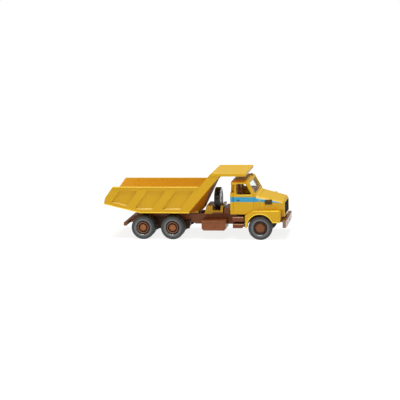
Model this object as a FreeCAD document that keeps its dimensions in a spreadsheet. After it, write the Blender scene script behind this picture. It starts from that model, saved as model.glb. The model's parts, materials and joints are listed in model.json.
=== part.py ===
import FreeCAD, Part
import math
import os
import re
import Sketcher

# A 1:87 scale model of a three-axle dump truck, in millimetres.
# +X is forward, +Y is the driver's left and Z = 0 is the ground under the tyres.
# The bed tips about a pin at the frame's tail, and each wheelset turns in the frame.

Vec = FreeCAD.Vector
doc = FreeCAD.newDocument("dump_truck")
sheet = doc.addObject("Spreadsheet::Sheet", "Sizes")

# Each row: alias, millimetres.  Distances "across" are from the centre plane Y = 0.
sizes = [
    # how far a cutter runs past what it cuts
    ("overcut", 1.0),
    # running gear
    ("rear_axle_x", -27.55), ("bogie_spacing", 15.75), ("front_axle_x", 34.25),
    ("axle_radius", 1.0), ("axle_clearance", 0.05), ("rim_grip", 0.02), ("bearing_wall", 0.9),
    ("tyre_radius", 6.2), ("tyre_width", 3.2), ("tyre_shoulder", 0.75), ("tyre_sides", 28),
    ("rim_radius", 3.35), ("twin_gap", 0.4),
    ("rear_tyre_face", 14.0), ("front_tyre_face", 13.5), ("rim_lip", 0.4), ("rim_recess", 0.25),
    ("rear_dish_depth", 1.7), ("front_dish_depth", 0.55), ("hub_radius", 1.75),
    ("rear_hub_height", 1.3), ("front_hub_height", 0.4), ("axle_end_depth", 2.2),
    # frame
    ("rail_inner", 3.8), ("rail_thickness", 1.2), ("rail_top", 12.2), ("rail_bottom", 6.7),
    ("rail_bottom_axles", 7.8), ("frame_tail_x", -32.55), ("frame_nose_x", 45.95),
    ("rail_rise_x", -3.2), ("rail_step_run", 2.2), ("rail_drop_x", 26.5), ("nose_rail_x", 40.2),
    ("nose_rail_top", 10.2),
    ("member_length", 1.6), ("member_height", 3.0), ("member_lift", 1.4), ("nose_member_drop", 2.4),
    ("middle_member_x", -0.2), ("rail_seat", 1.0), ("mount_root", 0.4),
    ("cab_mount_length", 3.0), ("cab_mount_inset", 2.4), ("nose_mount_length", 1.1),
    # hinge
    ("hinge_x", -29.55), ("hinge_z", 12.6), ("pin_radius", 0.6), ("pin_clearance", 0.05),
    ("pin_grip", 0.02), ("ear_radius", 1.15), ("lug_gap", 0.3), ("lug_thickness", 1.1),
    ("pin_end", 0.35),
    # bed
    ("bed_half_width", 14.3), ("bed_wall", 1.0), ("bed_bottom", 14.1), ("bed_floor_thickness", 1.0),
    ("bed_knee_x", -28.65), ("bed_tail_x", -47.95), ("bed_tail_z", 18.85),
    ("bed_tail_mid_x", -47.3), ("bed_tail_mid_z", 22.0), ("rim_rear_x", -42.85), ("rim_top", 28.0),
    ("rim_depth", 2.2), ("side_front_x", -3.05), ("side_front_slope", 0.885),
    ("gusset_x", 3.45), ("gusset_slope", 0.855),
    ("bed_front_x", 2.9), ("bed_front_slope", 0.44), ("bed_front_half", 4.0),
    ("panel_slope", 0.77), ("panel_depth", 0.45), ("panel_foot", 2.4), ("panel_pitch", 14.95),
    ("panel_width", 9.45), ("first_panel_x", -39.2), ("panel_kink", 0.2), ("flange_height", 0.5),
    ("flange_proud", 0.2),
    ("canopy_bottom", 33.4), ("canopy_top", 34.9), ("canopy_front_x", 27.45),
    ("canopy_half_width", 14.5), ("canopy_lip", 0.7), ("canopy_lip_height", 0.35),
    ("canopy_plate", 0.8),
    ("runner_gap", 0.3), ("runner_front_x", 0.6), ("runner_rear_x", -27.05),
    # rear bar
    ("rear_bar_x", -38.0), ("rear_bar_length", 1.55), ("rear_bar_bottom", 7.1),
    ("rear_bar_height", 1.8), ("rear_bar_half", 13.5), ("rear_lamp_width", 3.0),
    ("rear_lamp_height", 1.2), ("rear_lamp_depth", 0.3), ("rear_arm_drop", 2.9),
    ("rear_lamp_inset", 0.4), ("rear_lamp_lift", 0.3), ("rear_arm_below_top", 1.2),
    # tanks and steps
    ("tank_rear_x", 3.75), ("tank_length", 12.7), ("tank_bottom", 4.95), ("tank_height", 5.05),
    ("side_face", 14.0), ("tank_chamfer", 0.9), ("tank_panel_inset", 0.55),
    ("tank_panel_foot", 0.9), ("tank_panel_depth", 0.25), ("tank_rib_width", 1.0),
    ("step_rear_x", 20.15), ("step_length", 5.8), ("step_depth", 3.4), ("step_back", 0.6),
    ("step_bottom", 6.3), ("step_height", 2.3), ("step_pitch", 3.5), ("step_chamfer", 1.0),
    ("step_arm_length", 2.4), ("step_arm_height", 2.2), ("tread_lip", 0.3), ("tread_depth", 0.25),
    # springs and driveline
    ("spring_thickness", 1.2), ("spring_reach", 6.4), ("spring_leaf", 1.3), ("spring_seat", 0.4),
    ("spring_camber", 1.5), ("spring_eye", 0.5), ("spring_bend", 3.5), ("spring_waist", 1.3),
    ("trunnion_top_half", 2.4),
    ("trunnion_foot_half", 0.9), ("trunnion_foot_z", 4.3), ("strut_x", -4.9),
    ("strut_top_half", 1.7), ("strut_foot_half", 0.6),
    ("gearbox_rear_x", 17.5), ("gearbox_length", 9.0), ("gearbox_half", 2.4),
    ("gearbox_bottom", 6.2), ("gearbox_chamfer", 1.0), ("shaft_radius", 0.8), ("shaft_gap", 0.1),
    ("shaft_tail_x", -8.6),
    # behind the cab
    ("cab_block_x", 14.45), ("cab_block_length", 3.0), ("cab_block_top", 15.4),
    ("cab_block_half", 6.0),
    ("carrier_half", 6.0), ("carrier_base_top", 13.9), ("carrier_rear_x", 4.0),
    ("carrier_rear_lean", 1.2), ("carrier_tray_x", 8.35), ("carrier_post_x", 12.85),
    ("carrier_post_lean", 0.4), ("carrier_post_thickness", 0.75), ("carrier_post_top", 16.6),
    ("spare_x", 10.75), ("spare_radius", 6.1), ("spare_width", 3.2), ("spare_gap", 0.08),
    ("spare_seat_z", 13.2), ("spare_bore", 1.2), ("knob_radius", 0.6), ("knob_height", 0.9),
    ("knob_x", 6.6), ("knob_across", 5.0),
    # cab
    ("cab_rear_x", 18.95), ("cab_half_width", 13.0), ("cab_bottom", 13.4), ("cab_wall", 0.9),
    ("head_lining", 0.25),
    ("belt_z", 23.3), ("belt_front_x", 32.2), ("scuttle_length", 1.8),
    ("roof_edge_z", 30.3), ("roof_edge_rear_x", 19.5), ("roof_edge_front_x", 28.45),
    ("roof_edge_half", 12.3), ("roof_top_z", 30.8), ("roof_top_inset", 1.3),
    ("corner_bottom", 24.8), ("corner_top", 28.7), ("corner_cut", 1.2),
    ("window_bottom", 23.8), ("window_head", 1.1), ("door_window_rear_x", 22.25),
    ("window_corner", 0.5), ("window_pillar", 1.75), ("screen_border", 1.25), ("screen_inset", 0.3),
    ("rear_window_half", 7.5), ("rear_window_bottom", 25.0), ("rear_window_drop", 0.6),
    ("glass_thickness", 0.5), ("glass_inset", 0.2), ("door_line_width", 0.25),
    ("door_line_depth", 0.25), ("door_rear_x", 20.4), ("door_front_x", 31.3), ("door_foot", 0.6),
    ("handle_x", 22.5), ("handle_z", 20.5), ("handle_length", 1.4), ("handle_height", 0.45),
    ("handle_proud", 0.25), ("roof_panel_inset", 1.6), ("roof_panel_height", 0.2),
    # bonnet, fenders and nose
    ("bonnet_gap", 0.25), ("nose_x", 46.65), ("ledge_z", 15.35), ("bonnet_wall", 0.9),
    ("scuttle_side", 12.75), ("scuttle_crease", 11.2), ("scuttle_crown_z", 23.5),
    ("nose_side", 10.2), ("nose_crease", 9.5), ("nose_crown_z", 19.75), ("crown_fall", 0.05),
    ("crease_fall", 0.85), ("nose_round_length", 0.9), ("nose_round_drop", 1.1),
    ("nose_round_side", 0.5), ("bonnet_deck", 1.2), ("nose_bottom", 11.6), ("nose_thickness", 1.8),
    ("nose_plate_drop", 1.0), ("nose_half", 9.3),
    ("arch_radius", 6.9), ("arch_lift", 0.5), ("fender_rear_x", 26.55), ("fender_rear_z", 12.8),
    ("fender_ledge_x", 30.95), ("fender_front_x", 44.85), ("fender_front_z", 9.2),
    ("fender_foot_z", 6.4), ("fender_face", 14.0), ("fender_inner", 9.4), ("fender_corner", 0.9),
    ("grille_half", 8.0), ("grille_bottom", 12.3), ("grille_top", 18.4), ("grille_plate", 0.3),
    ("grille_bar", 0.2), ("grille_bar_width", 0.55), ("grille_bars", 11),
    ("grille_recess", 0.5),
    ("intake_rear_x", 36.85), ("intake_length", 3.6), ("intake_bottom", 18.4),
    ("intake_height", 2.5), ("intake_slats", 5), ("intake_proud", 0.25), ("intake_slat", 0.3),
    ("intake_border", 0.35), ("intake_slat_depth", 0.15),
    # bumper and lamps
    ("bumper_front_x", 47.95), ("bumper_thickness", 2.0), ("bumper_bottom", 6.6),
    ("bumper_height", 3.6), ("bumper_half", 14.0), ("bumper_sweep", 0.35), ("bumper_sweep_from", 8.0),
    ("tow_hole_radius", 0.9), ("lamp_width", 3.2), ("lamp_height", 1.9), ("lamp_inset", 1.0),
    ("lamp_depth", 0.8), ("lamp_proud", 0.12),
    # inside the cab
    ("cab_floor_thickness", 0.8), ("seat_across", 5.6), ("seat_width", 5.0), ("seat_rear_x", 20.6),
    ("seat_length", 5.0), ("seat_height", 4.6), ("seat_back_top", 27.3), ("seat_back", 1.3),
    ("dash_rear_x", 30.0), ("dash_bottom", 18.5), ("dash_top", 22.6), ("dash_lean", 0.6),
    ("floor_fender_gap", 0.2), ("seat_lean", 0.6),
    ("wheel_ring_radius", 2.2), ("wheel_ring_section", 0.22), ("wheel_ring_sides", 16),
    ("wheel_hub_x", 28.0), ("wheel_hub_z", 23.4), ("column_half", 0.35), ("column_tilt", 35.0),
    # roof knob
    ("beacon_x", 27.65), ("beacon_across", 6.5), ("beacon_radius", 0.75),
    ("beacon_height", 1.1),
]
for row, (alias, value) in enumerate(sizes, start=1):
    sheet.set("A%d" % row, alias)
    sheet.set("B%d" % row, repr(float(value)))
    sheet.setAlias("B%d" % row, alias)
doc.recompute()
aliases = {alias for alias, value in sizes}


def ex(text):
    """An expression in the sheet's aliases, as FreeCAD writes it."""
    return re.sub(r"[A-Za-z_][A-Za-z_0-9]*",
                  lambda word: "Sizes." + word[0] if word[0] in aliases else word[0], str(text))


def val(text):
    """The present value of such an expression."""
    return float(sheet.evalExpression(ex(text)))


# planes: role in a body's origin, and whether the pad runs towards the axis's negative end
planes = {"XZ": ("XZ_Plane", True), "YZ": ("YZ_Plane", False), "XY": ("XY_Plane", False)}


def newBody(label):
    body = doc.addObject("PartDesign::Body", label)
    body.Label = label
    return body


def newSketch(body, name, plane, at):
    """A sketch on one of the body's own planes, moved to the coordinate `at` across it."""
    role, towardsNegative = planes[plane]
    sketch = body.newObject("Sketcher::SketchObject", name)
    support = [f for f in body.Origin.OriginFeatures if f.Role == role][0]
    sketch.AttachmentSupport = [(support, "")]
    sketch.MapMode = "FlatFace"
    sketch.setExpression("AttachmentOffset.Base.z", ex("-(%s)" % at if towardsNegative else at))
    return sketch


def pin(sketch, geometry, end, x, y):
    """Fixes one end of a piece of geometry at two sheet expressions."""
    for kind, coordinate in (("DistanceX", x), ("DistanceY", y)):
        index = sketch.addConstraint(
            Sketcher.Constraint(kind, -1, 1, geometry, end, val(coordinate)))
        sketch.setExpression("Constraints[%d]" % index, ex(coordinate))


def drawCircle(sketch, x, y, radius):
    circle = sketch.addGeometry(Part.Circle(Vec(val(x), val(y), 0), Vec(0, 0, 1), val(radius)))
    pin(sketch, circle, 3, x, y)
    index = sketch.addConstraint(Sketcher.Constraint("Radius", circle, val(radius)))
    sketch.setExpression("Constraints[%d]" % index, ex(radius))


def drawOutline(sketch, points):
    """A closed outline.  A point is (x, y), or (x, y, radius) for a rounded corner."""
    corner = [Vec(val(p[0]), val(p[1]), 0) for p in points]
    count = len(points)
    start, finish, arcs = list(corner), list(corner), {}
    for i, point in enumerate(points):
        if len(point) < 3:
            continue
        back = (corner[i - 1] - corner[i]).normalize()
        ahead = (corner[(i + 1) % count] - corner[i]).normalize()
        half = math.acos(back.dot(ahead)) / 2
        radius = val(point[2])
        finish[i] = corner[i] + back * (radius / math.tan(half))
        start[i] = corner[i] + ahead * (radius / math.tan(half))
        bisector = (back + ahead).normalize()
        nearest = corner[i] + bisector * (radius / math.sin(half) - radius)
        arcs[i] = Part.Arc(finish[i], nearest, start[i])
    lines = [sketch.addGeometry(Part.LineSegment(start[i], finish[(i + 1) % count]))
             for i in range(count)]
    for i, point in enumerate(points):
        before, after = lines[i - 1], lines[i]
        if i not in arcs:
            sketch.addConstraint(Sketcher.Constraint("Coincident", before, 2, after, 1))
            pin(sketch, after, 1, point[0], point[1])
            continue
        arc = sketch.addGeometry(arcs[i])
        first = 1 if sketch.Geometry[arc].StartPoint.isEqual(finish[i], 1e-6) else 2
        sketch.addConstraint(Sketcher.Constraint("Tangent", before, 2, arc, first))
        sketch.addConstraint(Sketcher.Constraint("Tangent", arc, 3 - first, after, 1))
        index = sketch.addConstraint(Sketcher.Constraint("Radius", arc, val(point[2])))
        sketch.setExpression("Constraints[%d]" % index, ex(point[2]))
        mark = sketch.addGeometry(Part.Point(corner[i]), True)
        sketch.addConstraint(Sketcher.Constraint("PointOnObject", mark, 1, before))
        sketch.addConstraint(Sketcher.Constraint("PointOnObject", mark, 1, after))
        pin(sketch, mark, 1, point[0], point[1])


def draw(sketch, shapes):
    for shape in shapes:
        if shape[0] == "circle":
            drawCircle(sketch, *shape[1:])
        else:
            drawOutline(sketch, shape)


def prism(body, name, plane, low, high, shapes, cut=False):
    """Pads or pockets shapes between two coordinates across a plane."""
    towardsNegative = planes[plane][1]
    sketch = newSketch(body, name + "_sketch", plane, high if towardsNegative != cut else low)
    draw(sketch, shapes)
    kind = "PartDesign::Pocket" if cut else "PartDesign::Pad"
    feature = body.newObject(kind, name)
    feature.Profile = sketch
    feature.setExpression("Length", ex("(%s) - (%s)" % (high, low)))
    body.Tip = feature
    return feature


def pad(body, name, plane, low, high, *shapes):
    return prism(body, name, plane, low, high, shapes)


def pocket(body, name, plane, low, high, *shapes):
    return prism(body, name, plane, low, high, shapes, cut=True)


def faceted(*sections):
    """A solid through sections of equally many corners, with a flat face between each pair of edges."""
    rows = [[Vec(*[val(coordinate) for coordinate in corner]) for corner in section]
            for section in sections]
    outlines = [rows[0], rows[-1]]
    for low, high in zip(rows, rows[1:]):
        outlines += [[low[i - 1], low[i], high[i], high[i - 1]] for i in range(len(low))]
    solid = Part.makeSolid(Part.makeShell([Part.Face(Part.makePolygon(o + o[:1])) for o in outlines]))
    if solid.Volume < 0:
        solid.reverse()
    return solid


def shaped(name, shape):
    """An object of the document that holds a shape made from the sheet's sizes."""
    obj = doc.addObject("Part::Feature", name)
    obj.Label = name
    obj.Shape = shape
    return obj


def place(obj, x="0", y="0", z="0"):
    for axis, text in (("x", x), ("y", y), ("z", z)):
        obj.setExpression("Placement.Base." + axis, ex(text))


def rect(x0, y0, x1, y1):
    return [(x0, y0), (x1, y0), (x1, y1), (x0, y1)]


def span(side, inner, outer):
    """The low and high Y of a piece between two distances across, on one side."""
    if side > 0:
        return inner, outer
    return "-(%s)" % outer, "-(%s)" % inner


sideName = {-1: "right", 1: "left"}
railOuter = "(rail_inner + rail_thickness)"
axleX = {"front": "front_axle_x", "middle": "(rear_axle_x + bogie_spacing)", "rear": "rear_axle_x"}
parts = []


def keep(body):
    parts.append(body)
    return body


def manySided(name, radius, low, high):
    """A prism with a wheel's many sides, along its own Z."""
    obj = doc.addObject("Part::Prism", name)
    obj.setExpression("Polygon", ex("tyre_sides"))
    obj.setExpression("Circumradius", ex(radius))
    obj.setExpression("Height", ex("(%s) - (%s)" % (high, low)))
    place(obj, z=low)
    return obj


def cutAway(label, base, tool):
    whole = doc.addObject("Part::Cut", label)
    whole.Label = label
    whole.Base = base
    whole.Tool = tool
    return whole


def group(name, objects):
    compound = doc.addObject("Part::Compound", name)
    compound.Links = objects
    return compound


def face(obj, widthWise, x, z):
    """Turns a piece drawn along Z to point along an axle, and sets it at the axle's height."""
    obj.Placement = FreeCAD.Placement(Vec(0, 0, 0), FreeCAD.Rotation(Vec(0, 0, 1), widthWise))
    place(obj, x=x, z=z)
    return obj


# ---- frame -------------------------------------------------------------------------------

def makeFrame():
    body = newBody("chassis_frame")
    # one rail's outline, seen from the side: low under the cab, raised over the axles
    outline = [
        ("frame_tail_x", "rail_bottom_axles"),
        ("rail_rise_x", "rail_bottom_axles"),
        ("rail_rise_x + rail_step_run", "rail_bottom"),
        ("rail_drop_x - rail_step_run", "rail_bottom"),
        ("rail_drop_x", "rail_bottom_axles"),
        ("frame_nose_x", "rail_bottom_axles"),
        ("frame_nose_x", "nose_rail_top"),
        ("nose_rail_x", "nose_rail_top"),
        ("nose_rail_x - (rail_top - nose_rail_top)", "rail_top"),
        ("frame_tail_x", "rail_top"),
    ]
    bearing = "(axle_radius + axle_clearance + bearing_wall)"
    for side in (1, -1):
        low, high = span(side, "rail_inner", railOuter)
        name = sideName[side]
        pad(body, "rail_" + name, "XZ", low, high, outline)
        for axle, x in axleX.items():
            # a block with chamfered feet round the bearing bore
            foot = "%s / 2" % bearing
            pad(body, "bearing_%s_%s" % (axle, name), "XZ", low, high, [
                ("%s - %s" % (x, foot), "tyre_radius - " + bearing),
                ("%s + %s" % (x, foot), "tyre_radius - " + bearing),
                ("%s + %s" % (x, bearing), "tyre_radius - " + foot),
                ("%s + %s" % (x, bearing), "rail_bottom_axles + rail_seat"),
                ("%s - %s" % (x, bearing), "rail_bottom_axles + rail_seat"),
                ("%s - %s" % (x, bearing), "tyre_radius - " + foot)])
        pad(body, "ear_" + name, "XZ", low, high, ("circle", "hinge_x", "hinge_z", "ear_radius"))
    # cross members: (name, rear x, bottom z)
    members = [
        ("tail", "frame_tail_x", "rail_bottom_axles"),
        ("bogie", "rear_axle_x + bogie_spacing / 2 - member_length / 2", "rail_bottom_axles"),
        ("middle", "middle_member_x", "rail_bottom_axles + member_lift"),
        ("tank", "tank_rear_x + tank_length - member_length", "rail_bottom_axles + member_lift"),
        ("cab", "cab_rear_x + member_length", "rail_bottom_axles + member_lift"),
        ("nose", "nose_rail_x", "nose_rail_top - nose_member_drop"),
    ]
    for name, x, z in members:
        top = "%s + member_height" % z if name != "nose" else "nose_rail_top"
        pad(body, "member_" + name, "XZ", "-rail_inner", "rail_inner",
            rect(x, z, x + " + member_length", top))
    # pads on the rails that carry the cab floor and the bonnet's nose
    mounts = [
        ("cab_rear", "cab_rear_x + cab_mount_inset", "cab_mount_length", "cab_bottom"),
        ("cab_front", "belt_front_x - cab_mount_length - cab_mount_inset", "cab_mount_length",
         "cab_bottom"),
        ("nose", "nose_x - nose_thickness", "nose_mount_length", "nose_bottom"),
    ]
    for name, x, length, top in mounts:
        for side in (1, -1):
            low, high = span(side, "rail_inner", railOuter)
            pad(body, "mount_%s_%s" % (name, sideName[side]), "XZ", low, high,
                rect(x, "nose_rail_top - mount_root", "%s + %s" % (x, length), top))
    for axle, x in axleX.items():
        pocket(body, "axle_bore_" + axle, "XZ", "-" + railOuter, railOuter,
               ("circle", x, "tyre_radius", "axle_radius + axle_clearance"))
    pocket(body, "pin_bore", "XZ", "-" + railOuter, railOuter,
           ("circle", "hinge_x", "hinge_z", "pin_radius + pin_grip"))
    return keep(body)


def makeHingePin():
    body = newBody("hinge_pin")
    end = "(%s + pin_end)" % railOuter
    pad(body, "shank", "XZ", "-" + end, end, ("circle", "hinge_x", "hinge_z", "pin_radius"))
    return keep(body)


def leafSpring(body, name, side, x, top):
    """A sagging leaf pack beside a rail, thick in the middle and thin at the eyes."""
    low, high = span(side, railOuter, railOuter + " + spring_thickness")
    bend, waist, middle = "spring_bend", "spring_waist", "(%s - spring_camber)" % top
    pad(body, name, "XZ", low, high, [
        ("%s - spring_reach" % x, top),
        ("%s - %s" % (x, bend), middle),
        ("%s - %s" % (x, waist), middle + " - spring_leaf"),
        ("%s + %s" % (x, waist), middle + " - spring_leaf"),
        ("%s + %s" % (x, bend), middle),
        ("%s + spring_reach" % x, top),
        ("%s + spring_reach - spring_eye" % x, top + " + spring_eye"),
        ("%s + %s" % (x, bend), middle + " + spring_leaf"),
        ("%s - %s" % (x, bend), middle + " + spring_leaf"),
        ("%s - spring_reach + spring_eye" % x, top + " + spring_eye")])


def makeSprings():
    pair = "(rear_axle_x + bogie_spacing / 2)"
    overAxle = "(tyre_radius + axle_radius + spring_seat + spring_leaf + spring_camber)"
    for name, x in (("front_springs", "front_axle_x"), ("rear_springs", pair)):
        body = newBody(name)
        for side in (1, -1):
            leafSpring(body, "spring_" + sideName[side], side, x, overAxle)
            if name == "rear_springs":
                low, high = span(side, railOuter, railOuter + " + spring_thickness")
                seat = overAxle + " - spring_camber - spring_leaf"
                # the brackets that hang below: one at the pair's middle, one ahead of it
                for part, at, topHalf, footHalf, z in (
                        ("trunnion", pair, "trunnion_top_half", "trunnion_foot_half", seat),
                        ("strut", "strut_x", "strut_top_half", "strut_foot_half",
                         "(rail_bottom_axles + rail_seat)")):
                    pad(body, "%s_%s" % (part, sideName[side]), "XZ", low, high, [
                        ("%s - %s" % (at, topHalf), z),
                        ("%s - %s" % (at, footHalf), "trunnion_foot_z"),
                        ("%s + %s" % (at, footHalf), "trunnion_foot_z"),
                        ("%s + %s" % (at, topHalf), z)])
        keep(body)


def makeDriveline():
    body = newBody("driveline")
    front = "gearbox_rear_x + gearbox_length"
    top = "(rail_bottom_axles + member_lift)"
    pad(body, "gearbox", "YZ", "gearbox_rear_x", front, [
        ("-gearbox_half", "gearbox_bottom + gearbox_chamfer"),
        ("-gearbox_half + gearbox_chamfer", "gearbox_bottom"),
        ("gearbox_half - gearbox_chamfer", "gearbox_bottom"),
        ("gearbox_half", "gearbox_bottom + gearbox_chamfer"),
        ("gearbox_half", top), ("-gearbox_half", top)])
    pad(body, "shaft", "YZ", "shaft_tail_x", "gearbox_rear_x",
        ("circle", "0", top + " - shaft_gap - shaft_radius", "shaft_radius"))
    return keep(body)


def makeTank(side):
    body = newBody("tank_" + sideName[side])
    low, high = span(side, railOuter, "side_face")
    x0, x1 = "tank_rear_x", "(tank_rear_x + tank_length)"
    z0, z1 = "tank_bottom", "(tank_bottom + tank_height)"
    pad(body, "shell", "XZ", low, high, [
        (x0 + " + tank_chamfer", z0), (x1 + " - tank_chamfer", z0), (x1, z0 + " + tank_chamfer"),
        (x1, z1), (x0, z1), (x0, z0 + " + tank_chamfer")])
    low, high = span(side, "side_face - tank_panel_depth", "side_face")
    middle = "(tank_rear_x + tank_length / 2)"
    inset = "tank_panel_inset"
    pocket(body, "panels", "XZ", low, high,
           rect("%s + %s" % (x0, inset), "%s + tank_panel_foot" % z0,
                "%s - tank_rib_width / 2" % middle, "%s - %s" % (z1, inset)),
           rect("%s + tank_rib_width / 2" % middle, "%s + tank_panel_foot" % z0,
                "%s - %s" % (x1, inset), "%s - %s" % (z1, inset)))
    return keep(body)


def makeSteps(side):
    body = newBody("steps_" + sideName[side])
    x0, x1 = "step_rear_x", "(step_rear_x + step_length)"
    low, high = span(side, "side_face - step_depth", "side_face")
    lower = [(x0, "step_bottom"), (x1 + " - step_chamfer", "step_bottom"),
             (x1, "step_bottom + step_chamfer"), (x1, "step_bottom + step_height"),
             (x0, "step_bottom + step_height")]
    upper = rect(x0, "step_bottom + step_pitch", x1, "step_bottom + step_pitch + step_height")
    pad(body, "treads", "XZ", low, high, lower, upper)
    low, high = span(side, "side_face - step_depth - step_back", "side_face - step_depth")
    pad(body, "back", "XZ", low, high,
        rect(x0, "step_bottom", x1, "step_bottom + step_pitch + step_height"))
    low, high = span(side, railOuter, "side_face - step_depth - step_back")
    arm = "(step_rear_x + step_length / 2 - step_arm_length / 2)"
    pad(body, "arm", "XZ", low, high,
        rect(arm, "step_bottom + step_height", arm + " + step_arm_length",
             "step_bottom + step_height + step_arm_height"))
    # a shallow tray in each tread
    low, high = span(side, "side_face - step_depth + tread_lip", "side_face - tread_lip")
    for name, top in (("lower", "step_bottom + step_height"),
                      ("upper", "step_bottom + step_pitch + step_height")):
        pocket(body, "tray_" + name, "XZ", low, high,
               rect(x0 + " + tread_lip", top + " - tread_depth", x1 + " - tread_lip", top))
    return keep(body)


def makeRearBar():
    body = newBody("rear_light_bar")
    x1 = "(rear_bar_x + rear_bar_length)"
    z1 = "(rear_bar_bottom + rear_bar_height)"
    pad(body, "bar", "XZ", "-rear_bar_half", "rear_bar_half",
        rect("rear_bar_x", "rear_bar_bottom", x1, z1))
    for side in (1, -1):
        low, high = span(side, "rail_inner", railOuter)
        pad(body, "arm_" + sideName[side], "XZ", low, high, [
            (x1, "rear_bar_bottom"), ("frame_tail_x", "rail_top - rear_arm_drop - rear_arm_below_top"),
            ("frame_tail_x", "rail_top - rear_arm_below_top"), (x1, z1)])
    low, high = "rear_bar_x", "rear_bar_x + rear_lamp_depth"
    for side in (1, -1):
        inner, outer = span(side, "rear_bar_half - rear_lamp_inset - rear_lamp_width",
                            "rear_bar_half - rear_lamp_inset")
        pocket(body, "lamp_seat_" + sideName[side], "YZ", low, high,
               rect(inner, "rear_bar_bottom + rear_lamp_lift", outer,
                    "rear_bar_bottom + rear_lamp_lift + rear_lamp_height"))
    keep(body)
    lamps = newBody("rear_lamps")
    for side in (1, -1):
        inner, outer = span(side, "rear_bar_half - rear_lamp_inset - rear_lamp_width",
                            "rear_bar_half - rear_lamp_inset")
        pad(lamps, "lens_" + sideName[side], "YZ", "rear_bar_x", "rear_bar_x + rear_lamp_depth",
            rect(inner, "rear_bar_bottom + rear_lamp_lift", outer,
                 "rear_bar_bottom + rear_lamp_lift + rear_lamp_height"))
    return keep(lamps)


def makeBumper():
    body = newBody("bumper")
    back = "(bumper_front_x - bumper_thickness)"
    pad(body, "beam", "XY", "bumper_bottom", "bumper_bottom + bumper_height", [
        (back, "-bumper_half"), ("bumper_front_x - bumper_sweep", "-bumper_half"),
        ("bumper_front_x", "-bumper_sweep_from"), ("bumper_front_x", "bumper_sweep_from"),
        ("bumper_front_x - bumper_sweep", "bumper_half"), (back, "bumper_half")])
    middle = "(bumper_bottom + bumper_height / 2)"
    pocket(body, "tow_hole", "YZ", back, "bumper_front_x", ("circle", "0", middle, "tow_hole_radius"))
    lamps = newBody("headlamps")
    for side in (1, -1):
        inner, outer = span(side, "bumper_half - lamp_inset - lamp_width",
                            "bumper_half - lamp_inset")
        window = rect(inner, middle + " - lamp_height / 2", outer, middle + " + lamp_height / 2")
        pocket(body, "lamp_seat_" + sideName[side], "YZ", "bumper_front_x - lamp_depth - bumper_sweep",
               "bumper_front_x", window)
        pad(lamps, "lens_" + sideName[side], "YZ", "bumper_front_x - lamp_depth - bumper_sweep",
            "bumper_front_x - bumper_sweep + lamp_proud", window)
    keep(body)
    return keep(lamps)


def makeCarrier():
    block = newBody("cab_mount_block")
    pad(block, "block", "XZ", "-cab_block_half", "cab_block_half",
        rect("cab_block_x", "rail_top", "cab_block_x + cab_block_length", "cab_block_top"))
    keep(block)
    body = newBody("spare_wheel_carrier")
    pad(body, "cradle", "XZ", "-carrier_half", "carrier_half", [
        ("carrier_rear_x", "rail_top"),
        ("carrier_post_x + carrier_post_thickness + carrier_post_lean", "rail_top"),
        ("carrier_post_x + carrier_post_thickness", "carrier_post_top"),
        ("carrier_post_x", "carrier_post_top"),
        ("carrier_post_x - carrier_post_lean", "carrier_base_top"),
        ("carrier_tray_x", "carrier_base_top"),
        ("carrier_tray_x", "carrier_post_top"),
        ("carrier_rear_x + carrier_rear_lean", "carrier_post_top")])
    pocket(body, "wheel_seat", "YZ", "spare_x - spare_width / 2 - spare_gap",
           "spare_x + spare_width / 2 + spare_gap",
           ("circle", "0", "spare_seat_z + spare_radius", "spare_radius + spare_gap"))
    keep(body)
    knob = newBody("carrier_knob")
    pad(knob, "knob", "XY", "carrier_post_top", "carrier_post_top + knob_height",
        ("circle", "knob_x", "-knob_across", "knob_radius"))
    return keep(knob)


def makeTyres(label, radius, spans):
    """Tyres with straight shoulders, drawn along their own Z, round a many-sided bore."""
    def ring(name, z, size):
        obj = doc.addObject("Part::RegularPolygon", name)
        obj.setExpression("Polygon", ex("tyre_sides"))
        obj.setExpression("Circumradius", ex(size))
        place(obj, z=z)
        return obj

    tyres = []
    for number, (inner, outer) in enumerate(spans):
        rings = [ring("%s_ring%d%d" % (label, number, row), z, size) for row, (z, size) in enumerate((
            (inner, radius + " - tyre_shoulder"), (inner + " + tyre_shoulder", radius),
            (outer + " - tyre_shoulder", radius), (outer, radius + " - tyre_shoulder")))]
        solid = doc.addObject("Part::Loft", "%s_solid%d" % (label, number))
        solid.Sections = rings
        solid.Solid = True
        solid.Ruled = True
        tyres.append(solid)
    bore = manySided(label + "_bore", "rim_radius", spans[-1][0], spans[0][1])
    return keep(cutAway(label, group(label + "_solids", tyres), bore))


def makeRim(label, inner, lip, dish, hub, bore, stop):
    """A drum that fills the tyres' bore, dished at its face round a hub and bored for the axle."""
    floor = "(%s - %s)" % (lip, dish)
    drum = manySided(label + "_drum", "rim_radius", inner, lip)
    dished = cutAway(label + "_dish", manySided(label + "_dish_outer", "rim_radius - rim_lip", floor, lip),
                     manySided(label + "_hub", "hub_radius", floor, "%s + %s" % (floor, hub)))
    axleBore = doc.addObject("Part::Cylinder", label + "_bore")
    axleBore.setExpression("Radius", ex(bore))
    axleBore.setExpression("Height", ex("%s - (%s)" % (stop, inner)))
    place(axleBore, z=inner)
    return keep(cutAway(label, drum, group(label + "_hollows", [dished, axleBore])))


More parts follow.
